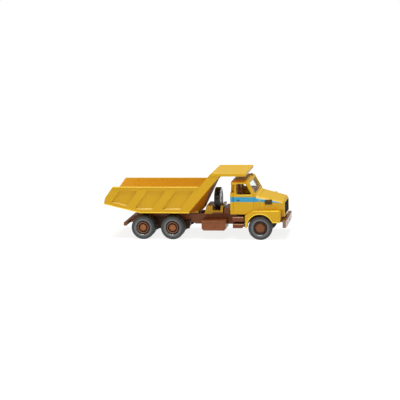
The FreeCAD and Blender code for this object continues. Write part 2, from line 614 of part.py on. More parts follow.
def makeWheelset(axle):
    rear = axle != "front"
    x = axleX[axle]
    outer = "rear_tyre_face" if rear else "front_tyre_face"
    dish = "rear_dish_depth" if rear else "front_dish_depth"
    hub = "rear_hub_height" if rear else "front_hub_height"
    inner = "(%s - 2 * tyre_width - twin_gap)" % outer if rear else "(%s - tyre_width)" % outer
    spans = [("(%s - tyre_width)" % outer, outer)]
    if rear:
        spans.append((inner, "(%s + tyre_width)" % inner))
    end = "(%s - axle_end_depth)" % outer
    for side in (1, -1):
        name = sideName[side]
        tyre = makeTyres("%s_tyres_%s" % (axle, name) if rear else "%s_tyre_%s" % (axle, name),
                         "tyre_radius", spans)
        rim = makeRim("%s_rim_%s" % (axle, name), inner + " + rim_recess", "(%s - rim_recess)" % outer,
                      dish, hub, "axle_radius + rim_grip", end)
        for piece in (tyre, rim):
            face(piece, Vec(0, side, 0), x, "tyre_radius")
    shaft = newBody(axle + "_axle")
    place(shaft, x=x, z="tyre_radius")
    pad(shaft, "shaft", "XZ", "-" + end, end, ("circle", "0", "0", "axle_radius"))
    return keep(shaft)


def makeSpare():
    centre = "spare_seat_z + spare_radius"
    half = "(spare_width / 2)"
    tyre = makeTyres("spare_tyre", "spare_radius", [("-" + half, half)])
    inner, outer = "-%s + rim_recess" % half, half + " - rim_recess"
    rim = keep(cutAway("spare_rim", manySided("spare_disc", "rim_radius", inner, outer),
                       manySided("spare_rim_bore", "spare_bore", inner, outer)))
    for piece in (tyre, rim):
        face(piece, Vec(1, 0, 0), "spare_x", centre)
    return rim


# ---- bed ---------------------------------------------------------------------------------

tailSlope = "((bed_tail_z - bed_bottom) / (bed_knee_x - bed_tail_x))"
frontEdgeTop = "(side_front_x + side_front_slope * (canopy_bottom - bed_bottom))"
gussetTop = "(gusset_x + gusset_slope * (canopy_bottom - rim_top))"
canopyRear = "(gusset_x + gusset_slope * (canopy_top - rim_top))"


def makeBedSide(side):
    body = newBody("bed_side_" + sideName[side])
    low, high = span(side, "bed_half_width - bed_wall", "bed_half_width")
    pad(body, "plate", "XZ", low, high, [
        ("bed_tail_x", "bed_tail_z"), ("bed_knee_x", "bed_bottom"),
        ("side_front_x", "bed_bottom"), (frontEdgeTop, "canopy_bottom"),
        (gussetTop, "canopy_bottom"), ("gusset_x", "rim_top"), ("rim_rear_x", "rim_top"),
        ("bed_tail_mid_x", "bed_tail_mid_z")])
    # raised beads along the top of the rim and the lower edge
    low, high = span(side, "bed_half_width - bed_wall / 2", "bed_half_width + flange_proud")
    pad(body, "rim_bead", "XZ", low, high,
        rect("rim_rear_x", "rim_top - flange_height", "gusset_x", "rim_top"))
    pad(body, "lower_bead", "XZ", low, high, [
        ("bed_tail_x", "bed_tail_z"), ("bed_knee_x", "bed_bottom"),
        ("side_front_x", "bed_bottom"),
        ("side_front_x + side_front_slope * flange_height", "bed_bottom + flange_height"),
        ("bed_knee_x", "bed_bottom + flange_height"),
        ("bed_tail_x", "bed_tail_z + flange_height")])
    low, high = span(side, "bed_half_width - panel_depth", "bed_half_width")
    top = "(rim_top - rim_depth)"
    foot = "(bed_bottom + panel_foot)"
    shapes = []
    for number in range(3):
        x0 = "(first_panel_x + %d * panel_pitch)" % number
        x1 = "(%s + panel_width)" % x0
        drop = "panel_slope * (%s - %s)" % (top, foot)
        if number == 2:
            shapes.append([("%s - %s" % (x0, drop), foot), ("%s - %s" % (x1, drop), foot),
                           (x1, top), (x0, top)])
            continue
        # these panels' feet follow the rising tail
        rise = lambda x: "max(0; %s * (bed_knee_x - (%s - %s)) / (1 + %s * panel_slope))" % (
            tailSlope, x, drop, tailSlope)
        footPoint = lambda x: ("(%s - %s + panel_slope * %s)" % (x, drop, rise(x)),
                               foot + " + " + rise(x))
        shape = [footPoint(x0), footPoint(x1), (x1, top), (x0, top)]
        if number == 1:
            shape.insert(1, ("max(bed_knee_x; %s + panel_kink)" % footPoint(x0)[0], foot))
        shapes.append(shape)
    pocket(body, "panels", "XZ", low, high, *shapes)
    return keep(body)


def halfSpace(point, normal, size):
    """A big box that fills the side of a plane that its normal points to."""
    box = Part.makeBox(size, size, size, Vec(-size / 2, -size / 2, 0))
    box.Placement = FreeCAD.Placement(point, FreeCAD.Rotation(Vec(0, 0, 1), normal)).multiply(
        box.Placement)
    return box


def behindFront(setBack):
    """The space between the sides, behind the leaning front wall and the facets beside it."""
    inner = val("bed_half_width - bed_wall")
    bottom, high = val("bed_bottom"), val("canopy_bottom")
    foot = Vec(val("bed_front_x"), val("bed_front_half"), bottom)
    edge = Vec(val("side_front_x"), val("bed_half_width"), bottom)
    wallNormal = Vec(1, 0, -val("bed_front_slope")).normalize()
    facetNormal = (foot - edge).cross(Vec(val("side_front_slope"), 0, 1)).normalize()
    if facetNormal.x < 0:
        facetNormal = facetNormal * -1
    mirrored = lambda v: Vec(v.x, -v.y, v.z)
    size = 4 * high
    shape = Part.makeBox(size, 2 * inner, high - bottom, Vec(edge.x - size / 2, -inner, bottom))
    for point, normal in ((foot, wallNormal), (edge, facetNormal),
                          (mirrored(edge), mirrored(facetNormal))):
        shape = shape.cut(halfSpace(point - normal * setBack, normal, size))
    return shape


def makeBedFloor():
    """The floor ends at the inner planes of the front wall and of its facets."""
    plate = newBody("bed_floor_plate")
    inner = "(bed_half_width - bed_wall)"
    thick = "bed_floor_thickness"
    pad(plate, "plate", "XZ", "-" + inner, inner, [
        ("bed_tail_x", "bed_tail_z"), ("bed_knee_x", "bed_bottom"), (gussetTop, "bed_bottom"),
        (gussetTop, "bed_bottom + " + thick), ("bed_knee_x", "bed_bottom + " + thick),
        ("bed_tail_x", "bed_tail_z + " + thick)])
    cavity = shaped("bed_cavity", behindFront(val("bed_wall")))
    floor = doc.addObject("Part::Common", "bed_floor")
    floor.Label = "bed_floor"
    floor.Base = plate
    floor.Tool = cavity
    keep(floor)
    return keep(shaped("bed_front_wall", behindFront(0).cut(cavity.Shape).removeSplitter()))


def makeCanopy():
    body = newBody("bed_canopy")
    pad(body, "slab", "XZ", "-canopy_half_width", "canopy_half_width", [
        (gussetTop, "canopy_bottom"), ("canopy_front_x", "canopy_bottom"),
        ("canopy_front_x", "canopy_top"), (canopyRear, "canopy_top")])
    # raised edge along the front and sides, and a hollow underside
    pocket(body, "tray", "XY", "canopy_top - canopy_lip_height", "canopy_top",
           rect(canopyRear + " - overcut", "-canopy_half_width + canopy_lip",
                "canopy_front_x - canopy_lip", "canopy_half_width - canopy_lip"))
    pocket(body, "underside", "XY", "canopy_bottom",
           "canopy_top - canopy_lip_height - canopy_plate",
           rect(frontEdgeTop + " + canopy_lip", "-canopy_half_width + canopy_lip",
                "canopy_front_x - canopy_lip", "canopy_half_width - canopy_lip"))
    return keep(body)


def makeSubframe():
    body = newBody("bed_subframe")
    bottom = "(rail_top + runner_gap)"
    inner = "(rail_inner - lug_gap - lug_thickness)"
    for side in (1, -1):
        name = sideName[side]
        low, high = span(side, inner, railOuter)
        pad(body, "runner_" + name, "XZ", low, high,
            rect("runner_rear_x", bottom, "runner_front_x", "bed_bottom"))
        low, high = span(side, inner, inner + " + lug_thickness")
        pad(body, "lug_%s" % name, "XZ", low, high,
            ("circle", "hinge_x", "hinge_z", "ear_radius"))
        pad(body, "web_%s" % name, "XZ", low, high,
            rect("hinge_x - ear_radius", "hinge_z", "runner_rear_x", "bed_bottom"))
    for name, x in (("rear", "runner_rear_x"), ("front", "runner_front_x - member_length")):
        pad(body, "tie_" + name, "XZ", "-" + inner, inner,
            rect(x, bottom, x + " + member_length", "bed_bottom"))
    pocket(body, "pin_bore", "XZ", "-" + railOuter, railOuter,
           ("circle", "hinge_x", "hinge_z", "pin_radius + pin_clearance"))
    return keep(body)


# ---- cab ---------------------------------------------------------------------------------

def level(z, outline):
    """An outline's corners at one height."""
    return [(x, y, z) for x, y in outline]


def cabLevel(row):
    z, rear, front, half = row
    return level(z, rect(rear, "-(%s)" % half, front, half))


def cabRows(inset):
    """Levels of the cab as (z, rear x, front x, half width), moved inwards by a wall."""
    rows = [
        ("cab_bottom", "cab_rear_x", "belt_front_x", "cab_half_width"),
        ("belt_z", "cab_rear_x", "belt_front_x", "cab_half_width"),
        ("roof_edge_z", "roof_edge_rear_x", "roof_edge_front_x", "roof_edge_half"),
        ("roof_top_z", "roof_edge_rear_x + roof_top_inset", "roof_edge_front_x - roof_top_inset",
         "roof_edge_half - roof_top_inset"),
    ]
    if inset == "0":
        return rows
    moved = [(z, "%s + %s" % (r, inset), "%s - %s" % (f, inset), "%s - %s" % (w, inset))
             for z, r, f, w in rows[:3]]
    z, r, f, w = moved[2]
    return moved[:2] + [("%s - head_lining" % z, r, f, w)]


def bonnetRow(x, inset="0", drop="0"):
    """The bonnet's section at a place between the scuttle and the nose, in flat facets."""
    share = "((%s - belt_front_x) / (nose_x - belt_front_x))" % x
    mix = lambda a, b, less: "(%s + (%s - %s) * %s - %s)" % (a, b, a, share, less)
    side = mix("scuttle_side", "nose_side", inset)
    crease = mix("scuttle_crease", "nose_crease", inset)
    crown = mix("scuttle_crown_z", "nose_crown_z", drop)
    creaseZ = "(%s - crown_fall * %s)" % (crown, crease)
    sideZ = "(%s - crease_fall * (%s - %s))" % (creaseZ, side, crease)
    outline = [("-" + side, "ledge_z"), (side, "ledge_z"), (side, sideZ), (crease, creaseZ),
               ("0", crown), ("-" + crease, creaseZ), ("-" + side, sideZ)]
    return [(x, y, z) for y, z in outline]


scuttleFront = "(belt_front_x + scuttle_length)"
windowTop = "(roof_edge_z - window_head)"
rearWindowTop = "(%s - rear_window_drop)" % windowTop
screenLean = "((belt_front_x - roof_edge_front_x) / (roof_edge_z - belt_z))"
screenFoot = "(window_bottom + screen_inset)"
screenHalf = "(roof_edge_half - screen_border)"


def pillarFront(z):
    """The door window's front edge at a height, along the windscreen pillar."""
    return "(belt_front_x - %s * (%s - belt_z) - window_pillar)" % (screenLean, z)


def doorPaneRows():
    """Levels of a door window with its corners cut off, as (z, rear x, front x)."""
    low, high = "(window_bottom + window_corner)", "(%s - window_corner)" % windowTop
    return [("window_bottom", "(door_window_rear_x + window_corner)",
             "(%s - window_corner)" % pillarFront("window_bottom")),
            (low, "door_window_rear_x", pillarFront(low)),
            (high, "door_window_rear_x", pillarFront(high)),
            (windowTop, "(door_window_rear_x + window_corner)",
             "(%s - window_corner)" % pillarFront(windowTop))]


def makeCab():
    outside = faceted(*[cabLevel(row) for row in cabRows("0")])
    scuttle = faceted(bonnetRow("belt_front_x"), bonnetRow(scuttleFront))
    inside = faceted(*[cabLevel(row) for row in cabRows("cab_wall")])
    body = newBody("cab_shell")
    body.BaseFeature = shaped("cab_hull", outside.fuse(scuttle).cut(inside).removeSplitter())
    # the rear corners are cut back between the belt and the roof
    for side in (1, -1):
        edge = "%d * cab_half_width" % side
        pocket(body, "rear_corner_" + sideName[side], "XY", "corner_bottom", "corner_top", [
            ("cab_rear_x - corner_cut", edge), ("cab_rear_x - corner_cut", "0"),
            ("cab_rear_x", "%d * (cab_half_width - 2 * corner_cut)" % side),
            ("cab_rear_x + 2 * corner_cut", edge)])
    # the lower front corners sit over the fenders
    pocket(body, "fender_notch", "XZ", "-cab_half_width - overcut", "cab_half_width + overcut", [
        ("fender_rear_x", "cab_bottom - overcut"), ("belt_front_x + overcut", "cab_bottom - overcut"),
        ("belt_front_x + overcut", "ledge_z"), ("fender_ledge_x", "ledge_z"),
        ("fender_rear_x", "fender_rear_z")])
    pocket(body, "door_windows", "XZ", "-cab_half_width - overcut", "cab_half_width + overcut",
           [(front, z) for z, rear, front in doorPaneRows()]
           + [(rear, z) for z, rear, front in reversed(doorPaneRows())])
    pocket(body, "windscreen", "YZ", "roof_edge_front_x - 2 * cab_wall", scuttleFront, [
        ("-%s + screen_inset" % screenHalf, screenFoot), (screenHalf + " - screen_inset", screenFoot),
        (screenHalf + " - 2 * screen_inset", windowTop),
        ("-%s + 2 * screen_inset" % screenHalf, windowTop)])
    pocket(body, "rear_window", "YZ", "cab_rear_x - overcut", "roof_edge_rear_x + 2 * cab_wall",
           rect("-rear_window_half", "rear_window_bottom", "rear_window_half", rearWindowTop))
    for side in (1, -1):
        low, high = span(side, "cab_half_width - door_line_depth", "cab_half_width + overcut")
        pocket(body, "door_lines_" + sideName[side], "XZ", low, high,
               rect("door_rear_x", "cab_bottom + door_foot", "door_rear_x + door_line_width",
                    "belt_z + door_foot"),
               rect("door_front_x - door_line_width", "ledge_z + door_foot", "door_front_x",
                    "belt_z + door_foot"))
        low, high = span(side, "cab_half_width - cab_wall / 2", "cab_half_width + handle_proud")
        pad(body, "handle_" + sideName[side], "XZ", low, high,
            rect("handle_x", "handle_z", "handle_x + handle_length", "handle_z + handle_height"))
    inset = "(roof_top_inset + roof_panel_inset)"
    pad(body, "roof_panel", "XY", "roof_top_z", "roof_top_z + roof_panel_height",
        rect("roof_edge_rear_x + " + inset, "-roof_edge_half + " + inset,
             "roof_edge_front_x - " + inset, "roof_edge_half - " + inset))
    return keep(body)


def makeGlazing():
    tumble = "((cab_half_width - roof_edge_half) / (roof_edge_z - belt_z))"
    panes = []
    for side in (1, -1):
        across = lambda z, back: "%d * (cab_half_width - %s * (%s - belt_z) - glass_inset - %s)" % (
            side, tumble, z, back)
        panes.append(faceted(*[
            level(z, rect(rear, across(z, "glass_thickness"), front, across(z, "0")))
            for z, rear, front in doorPaneRows()]))
    front = lambda z: "(belt_front_x - %s * (%s - belt_z) - glass_inset)" % (screenLean, z)
    panes.append(faceted(*[
        cabLevel((z, "%s - glass_thickness" % front(z), front(z), half))
        for z, half in ((screenFoot, screenHalf + " - screen_inset"),
                        (windowTop, screenHalf + " - 2 * screen_inset"))]))
    backLean = "((roof_edge_rear_x - cab_rear_x) / (roof_edge_z - belt_z))"
    rear = lambda z: "(cab_rear_x + %s * (%s - belt_z) + glass_inset)" % (backLean, z)
    panes.append(faceted(*[
        cabLevel((z, rear(z), "%s + glass_thickness" % rear(z), "rear_window_half"))
        for z in ("rear_window_bottom", rearWindowTop)]))
    return keep(shaped("cab_glazing", Part.makeCompound(panes)))


def makeBonnet():
    rear = "(%s + bonnet_gap)" % scuttleFront
    outside = faceted(bonnetRow(rear), bonnetRow("(nose_x - nose_round_length)"),
                      bonnetRow("nose_x", "nose_round_side", "nose_round_drop"))
    # the hollow narrows and falls with the sides and the crown
    inside = faceted(*[
        [(x, y, z) for y, z in rect("-%s + bonnet_wall" % half, "ledge_z - overcut",
                                    half + " - bonnet_wall", crown + " - bonnet_deck - bonnet_wall")]
        for x, half, crown in ((rear + " + bonnet_wall", "scuttle_crease", "scuttle_crown_z"),
                               ("nose_x - nose_thickness", "nose_crease", "nose_crown_z"))])
    body = newBody("bonnet")
    body.BaseFeature = shaped("bonnet_hull", outside.cut(inside).removeSplitter())
    pad(body, "nose", "YZ", "nose_x - nose_thickness", "nose_x",
        rect("-nose_half", "nose_bottom", "nose_half", "ledge_z + nose_plate_drop"))
    pocket(body, "grille_recess", "YZ", "nose_x - grille_recess", "nose_x",
           rect("-grille_half", "grille_bottom", "grille_half", "grille_top"))
    return keep(body)


def makeGrille():
    body = newBody("radiator_grille")
    back = "nose_x - grille_recess"
    pad(body, "plate", "YZ", back, back + " + grille_plate",
        rect("-grille_half", "grille_bottom", "grille_half", "grille_top"))
    bars = []
    count = int(round(val("grille_bars")))
    for number in range(count):
        middle = "(-grille_half + (%d + 0.5) * 2 * grille_half / %d)" % (number, count)
        bars.append(rect(middle + " - grille_bar_width / 2", "grille_bottom",
                         middle + " + grille_bar_width / 2", "grille_top"))
    pad(body, "bars", "YZ", back + " + grille_plate", back + " + grille_plate + grille_bar", *bars)
    return keep(body)


def makeIntakes():
    body = newBody("side_intakes")
    share = lambda x: "((%s - belt_front_x) / (nose_x - belt_front_x))" % x
    skin = lambda x: "(scuttle_side + (nose_side - scuttle_side) * %s)" % share(x)
    x1 = "(intake_rear_x + intake_length)"
    for side in (1, -1):
        outline = [("intake_rear_x", "%d * %s" % (side, skin("intake_rear_x"))),
                   (x1, "%d * %s" % (side, skin(x1))),
                   (x1, "%d * (%s + intake_proud)" % (side, skin(x1))),
                   ("intake_rear_x", "%d * (%s + intake_proud)" % (side, skin("intake_rear_x")))]
        pad(body, "intake_" + sideName[side], "XY", "intake_bottom",
            "intake_bottom + intake_height", outline)
        slats = []
        count = int(val("intake_slats"))
        for number in range(count):
            middle = "(intake_rear_x + intake_length * %d / %d)" % (2 * number + 1, 2 * count)
            slats.append(rect(middle + " - intake_slat / 2", "intake_bottom + intake_border",
                              middle + " + intake_slat / 2",
                              "intake_bottom + intake_height - intake_border"))
        low, high = span(side, skin(x1) + " + intake_proud - intake_slat_depth",
                         skin("intake_rear_x") + " + intake_proud")
        pocket(body, "slots_" + sideName[side], "XZ", low, high, *slats)
    return keep(body)


def makeFender(side):
    body = newBody("fender_" + sideName[side])
    low, high = span(side, "fender_inner", "fender_face")
    pad(body, "block", "XZ", low, high, [
        ("fender_rear_x", "fender_foot_z"), ("front_axle_x", "fender_foot_z"),
        ("front_axle_x", "fender_front_z"), ("fender_front_x", "fender_front_z"),
        ("fender_front_x", "ledge_z", "fender_corner"), ("fender_ledge_x", "ledge_z"),
        ("fender_rear_x", "fender_rear_z")])
    pocket(body, "arch", "XZ", low, high,
           ("circle", "front_axle_x", "tyre_radius + arch_lift", "arch_radius"))
    return keep(body)


def makeInterior():
    floor = newBody("cab_floor")
    inner = "(cab_half_width - cab_wall)"
    x0, x1 = "cab_rear_x + cab_wall", "belt_front_x - cab_wall"
    narrow = "(fender_inner - floor_fender_gap)"
    pad(floor, "plate", "XY", "cab_bottom", "cab_bottom + cab_floor_thickness", [
        (x0, "-" + inner), ("fender_rear_x", "-" + inner), ("fender_rear_x", "-" + narrow),
        (x1, "-" + narrow), (x1, narrow), ("fender_rear_x", narrow), ("fender_rear_x", inner),
        (x0, inner)])
    keep(floor)
    seats = newBody("cab_seats")
    top = "(cab_bottom + cab_floor_thickness + seat_height)"
    for side in (1, -1):
        low, high = span(side, "seat_across - seat_width / 2", "seat_across + seat_width / 2")
        pad(seats, "seat_" + sideName[side], "XZ", low, high, [
            ("seat_rear_x + seat_lean", "cab_bottom + cab_floor_thickness"),
            ("seat_rear_x + seat_length", "cab_bottom + cab_floor_thickness"),
            ("seat_rear_x + seat_length", top), ("seat_rear_x + seat_lean + seat_back", top),
            ("seat_rear_x + seat_back", "seat_back_top"), ("seat_rear_x", "seat_back_top"),
            ("seat_rear_x", top)])
    keep(seats)
    dash = newBody("dashboard")
    pad(dash, "board", "XZ", "-" + inner, inner, [
        ("dash_rear_x", "dash_bottom"), (x1, "dash_bottom"), (x1, "dash_top"),
        ("dash_rear_x + dash_lean", "dash_top")])
    keep(dash)
    return floor


def makeSteeringWheel():
    """A flat ring with a cross bar, on a column that leans back from the dashboard."""
    body = newBody("steering_wheel")
    half = "wheel_ring_section"
    sides = int(val("wheel_ring_sides"))
    ring = lambda radius: [("(%s) * cos(%d * 360 deg / %d)" % (radius, turn, sides),
                            "(%s) * sin(%d * 360 deg / %d)" % (radius, turn, sides))
                           for turn in range(sides)]
    pad(body, "ring", "XY", "-" + half, half, ring("wheel_ring_radius + wheel_ring_section"),
        ring("wheel_ring_radius - wheel_ring_section"))
    pad(body, "bar", "XY", "-" + half, half,
        rect("-" + half, "-wheel_ring_radius", half, "wheel_ring_radius"))
    pad(body, "column", "XY", "-(dash_rear_x - wheel_hub_x) / sin(column_tilt * 1 deg)", half,
        rect("-column_half", "-column_half", "column_half", "column_half"))
    body.Placement = FreeCAD.Placement(Vec(0, 0, 0), FreeCAD.Rotation(Vec(0, -1, 0), 1))
    body.setExpression("Placement.Rotation.Angle", ex("column_tilt * 1 deg"))
    place(body, "wheel_hub_x", "seat_across", "wheel_hub_z")
    return keep(body)


def makeBeacon():
    """A stub on the slope at the roof's front, cut off along that slope."""
    stub = doc.addObject("Part::Cylinder", "beacon_stub")
    stub.setExpression("Radius", ex("beacon_radius"))
    stub.setExpression("Height", ex("roof_top_z + beacon_height - roof_edge_z"))
    place(stub, "beacon_x", "beacon_across", "roof_edge_z")
    return keep(cutAway("roof_beacon", stub, doc.getObject("cab_hull")))


makeFrame()
makeHingePin()
makeSprings()
makeDriveline()
makeRearBar()
makeBumper()
makeCarrier()
makeSpare()
for side in (1, -1):
    makeTank(side)
    makeSteps(side)
    makeFender(side)
    makeBedSide(side)
makeCab()
makeGlazing()
makeBonnet()
makeGrille()
makeIntakes()
makeInterior()
makeSteeringWheel()
makeBeacon()
makeBedFloor()
makeCanopy()
makeSubframe()
for axle in axleX:
    makeWheelset(axle)
doc.recompute()

for obj in doc.Objects:
    if "Invalid" in obj.State or "Error" in obj.State:
        raise RuntimeError("%s failed: %s" % (obj.Label, obj.State))
os.makedirs("parts", exist_ok=True)
for part in parts:
    if part.Shape.isNull() or not part.Shape.isValid():
        raise RuntimeError(part.Label + " has no valid shape")
for part in parts:
    part.Shape.exportStep("parts/%s.step" % part.Label)
    box = part.Shape.BoundBox
    print("%-22s %d solids %8.2f mm3  x %.2f..%.2f y %.2f..%.2f z %.2f..%.2f" % (
        part.Label, len(part.Shape.Solids), part.Shape.Volume, box.XMin, box.XMax, box.YMin,
        box.YMax, box.ZMin, box.ZMax))
print(len(parts), "parts written")
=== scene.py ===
import json
import math
import bmesh
import bpy
import numpy as np
from mathutils import Matrix, Vector


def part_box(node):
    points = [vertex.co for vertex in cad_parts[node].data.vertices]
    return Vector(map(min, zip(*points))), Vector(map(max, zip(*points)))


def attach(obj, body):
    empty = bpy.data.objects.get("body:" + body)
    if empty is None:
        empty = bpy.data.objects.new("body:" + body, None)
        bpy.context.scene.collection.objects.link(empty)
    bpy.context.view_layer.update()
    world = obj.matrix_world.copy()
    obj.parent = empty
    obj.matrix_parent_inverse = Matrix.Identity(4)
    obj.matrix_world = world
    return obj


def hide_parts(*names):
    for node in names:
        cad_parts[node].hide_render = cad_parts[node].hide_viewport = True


# Looks of a 1:87 plastic dump truck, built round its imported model. +X is forward and +Y the driver's left.
# Lengths in the dictionaries are in mm, apart from those of the stage and the camera.

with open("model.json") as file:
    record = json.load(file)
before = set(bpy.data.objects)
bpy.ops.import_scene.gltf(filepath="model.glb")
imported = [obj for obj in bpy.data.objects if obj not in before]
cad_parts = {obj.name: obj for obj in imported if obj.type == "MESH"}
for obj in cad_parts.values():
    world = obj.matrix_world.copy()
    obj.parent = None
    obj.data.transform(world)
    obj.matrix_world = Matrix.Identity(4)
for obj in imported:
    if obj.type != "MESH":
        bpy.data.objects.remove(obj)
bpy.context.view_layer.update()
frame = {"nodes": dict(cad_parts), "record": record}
mm = 0.001
bodies = frame["record"]["behaviour"]["bodies"]
bodyOf = {node: body for body, members in bodies.items() for node in members}
slotOf = {part["node"]: part["material_slot"] for part in frame["record"]["subparts"]}
print("frame:", len(bodyOf), "nodes")


def boxMm(node):
    low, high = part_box(node)
    return np.array(low) / mm, np.array(high) / mm


def linear(hexColour):
    # sRGB hex to linear light
    channels = [int(hexColour[i:i + 2], 16) / 255 for i in (1, 3, 5)]
    return [c / 12.92 if c <= 0.04045 else ((c + 0.055) / 1.055) ** 2.4 for c in channels] + [1.0]


def addNode(tree, kind, inputs=None, **settings):
    # one node, with its settings, and its inputs given as values or as the sockets that feed them
    node = tree.nodes.new("ShaderNode" + kind)
    for key, value in settings.items():
        setattr(node, key, value)
    for key, value in (inputs or {}).items():
        if isinstance(value, bpy.types.NodeSocket):
            tree.links.new(value, node.inputs[key])
        else:
            node.inputs[key].default_value = value
    return node


def calc(tree, operation, a, b=0.0, clamp=False):
    return addNode(tree, "Math", {0: a, 1: b}, operation=operation, use_clamp=clamp).outputs[0]


def mixColours(tree, share, a, b):
    node = addNode(tree, "Mix", {0: share, 6: a, 7: b}, data_type="RGBA")
    return node.outputs[2]


def newMaterial(name, look):
    material = bpy.data.materials.new(name)
    material.use_nodes = True
    tree = material.node_tree
    shader = tree.nodes["Principled BSDF"]
    shader.inputs["Roughness"].default_value = look["roughness"]
    for key, socket in (("ior", "IOR"), ("shine", "Specular IOR Level")):
        if key in look:
            shader.inputs[socket].default_value = look[key]
    material.diffuse_color = linear(look["colour"])
    return material, tree, shader


def finishPlastic(tree, shader, look, colour=None):
    # slow drift of tone from the melt's flow, a fine grain off the mould, and patches that shine a little more
    place = addNode(tree, "TexCoord").outputs["Object"]
    flow = addNode(tree, "TexNoise", {"Vector": place, "Scale": 1 / (look["flowSize"] * mm), "Detail": 3.0})
    tones = mixColours(tree, flow.outputs["Fac"], linear(look["colour"]), linear(look["flowColour"]))
    if "beadColour" in look:
        # the beads are painted paler: a painted highlight along the edges
        edge = addNode(tree, "Attribute", attribute_name="litEdge").outputs["Fac"]
        tones = mixColours(tree, edge, tones, linear(look["beadColour"]))
    if colour is None:
        tree.links.new(tones, shader.inputs["Base Color"])
    else:
        colour(tree, place, tones, shader)
    shine = addNode(tree, "MapRange", {"Value": flow.outputs["Fac"], "From Min": 0.3, "From Max": 0.7,
                                       "To Min": look["roughness"] - look["shineSpread"],
                                       "To Max": look["roughness"] + look["shineSpread"]})
    tree.links.new(shine.outputs["Result"], shader.inputs["Roughness"])
    grain = addNode(tree, "TexNoise", {"Vector": place, "Scale": 1 / (look["grainSize"] * mm), "Detail": 2.0})
    bump = addNode(tree, "Bump", {"Strength": look["grainStrength"], "Distance": look["grainDepth"] * mm,
                                  "Height": grain.outputs["Fac"]})
    tree.links.new(bump.outputs["Normal"], shader.inputs["Normal"])


# yellow polystyrene, self-coloured and injection moulded: a warm satin skin with soft highlights
yellowLook = {
    # beadColour is the painted highlight on the raised beads
    "colour": "#CB9602", "flowColour": "#C48F02", "beadColour": "#E2B22E",
    "roughness": 0.34, "shineSpread": 0.05, "ior": 1.59, "shine": 0.2,
    "flowSize": 9.0, "grainSize": 0.35, "grainDepth": 0.012, "grainStrength": 0.35,
}

# the bed's front wall comes off a rougher core and is dull; its much deeper brownish orange is painted shade,
# from under the canopy
shadedWallLook = dict(yellowLook, colour="#A1580C", flowColour="#995209", roughness=0.62, shine=0.06)

# pad-printed stripe: level along the cab, then tapering to a point on the bonnet
stripeLook = {
    "colour": "#358AB0", "low": 19.9, "high": 22.5, "taperX": 33.4, "tipX": 45.7, "tipZ": 18.9,
    "cabHalf": 12.75, "noseHalf": 10.2, "cabX": 32.2, "noseX": 46.65, "skin": 0.4, "soft": 0.05,
    "seamX": 34.12, "seamHalf": 0.3,
    "doorX": 20.53, "doorHalf": 0.17, "handleFrom": 13.08, "handleColour": "#2A2422",
    # the rear corner, the roof's rear side slopes and the bonnet behind the intake's slots take painted shade
    "cornerX": 20.3, "cornerHalf": 0.8, "cornerFrom": 12.0, "cornerZ": 26.7, "cornerTall": 2.0,
    "cornerColour": "#AA6410",
    "roofX": 27.2, "roofFrom": 9.9, "roofZ": 29.95, "roofColour": "#D88618",
    "intakeX": 38.65, "intakeHalf": 1.75, "intakeZ": 19.65, "intakeTall": 1.2, "intakeColour": "#3A2810",
}


def offset(tree, value, middle):
    return calc(tree, "ABSOLUTE", calc(tree, "SUBTRACT", value, middle))


def within(tree, value, middle, half):
    return calc(tree, "LESS_THAN", offset(tree, value, middle), half)


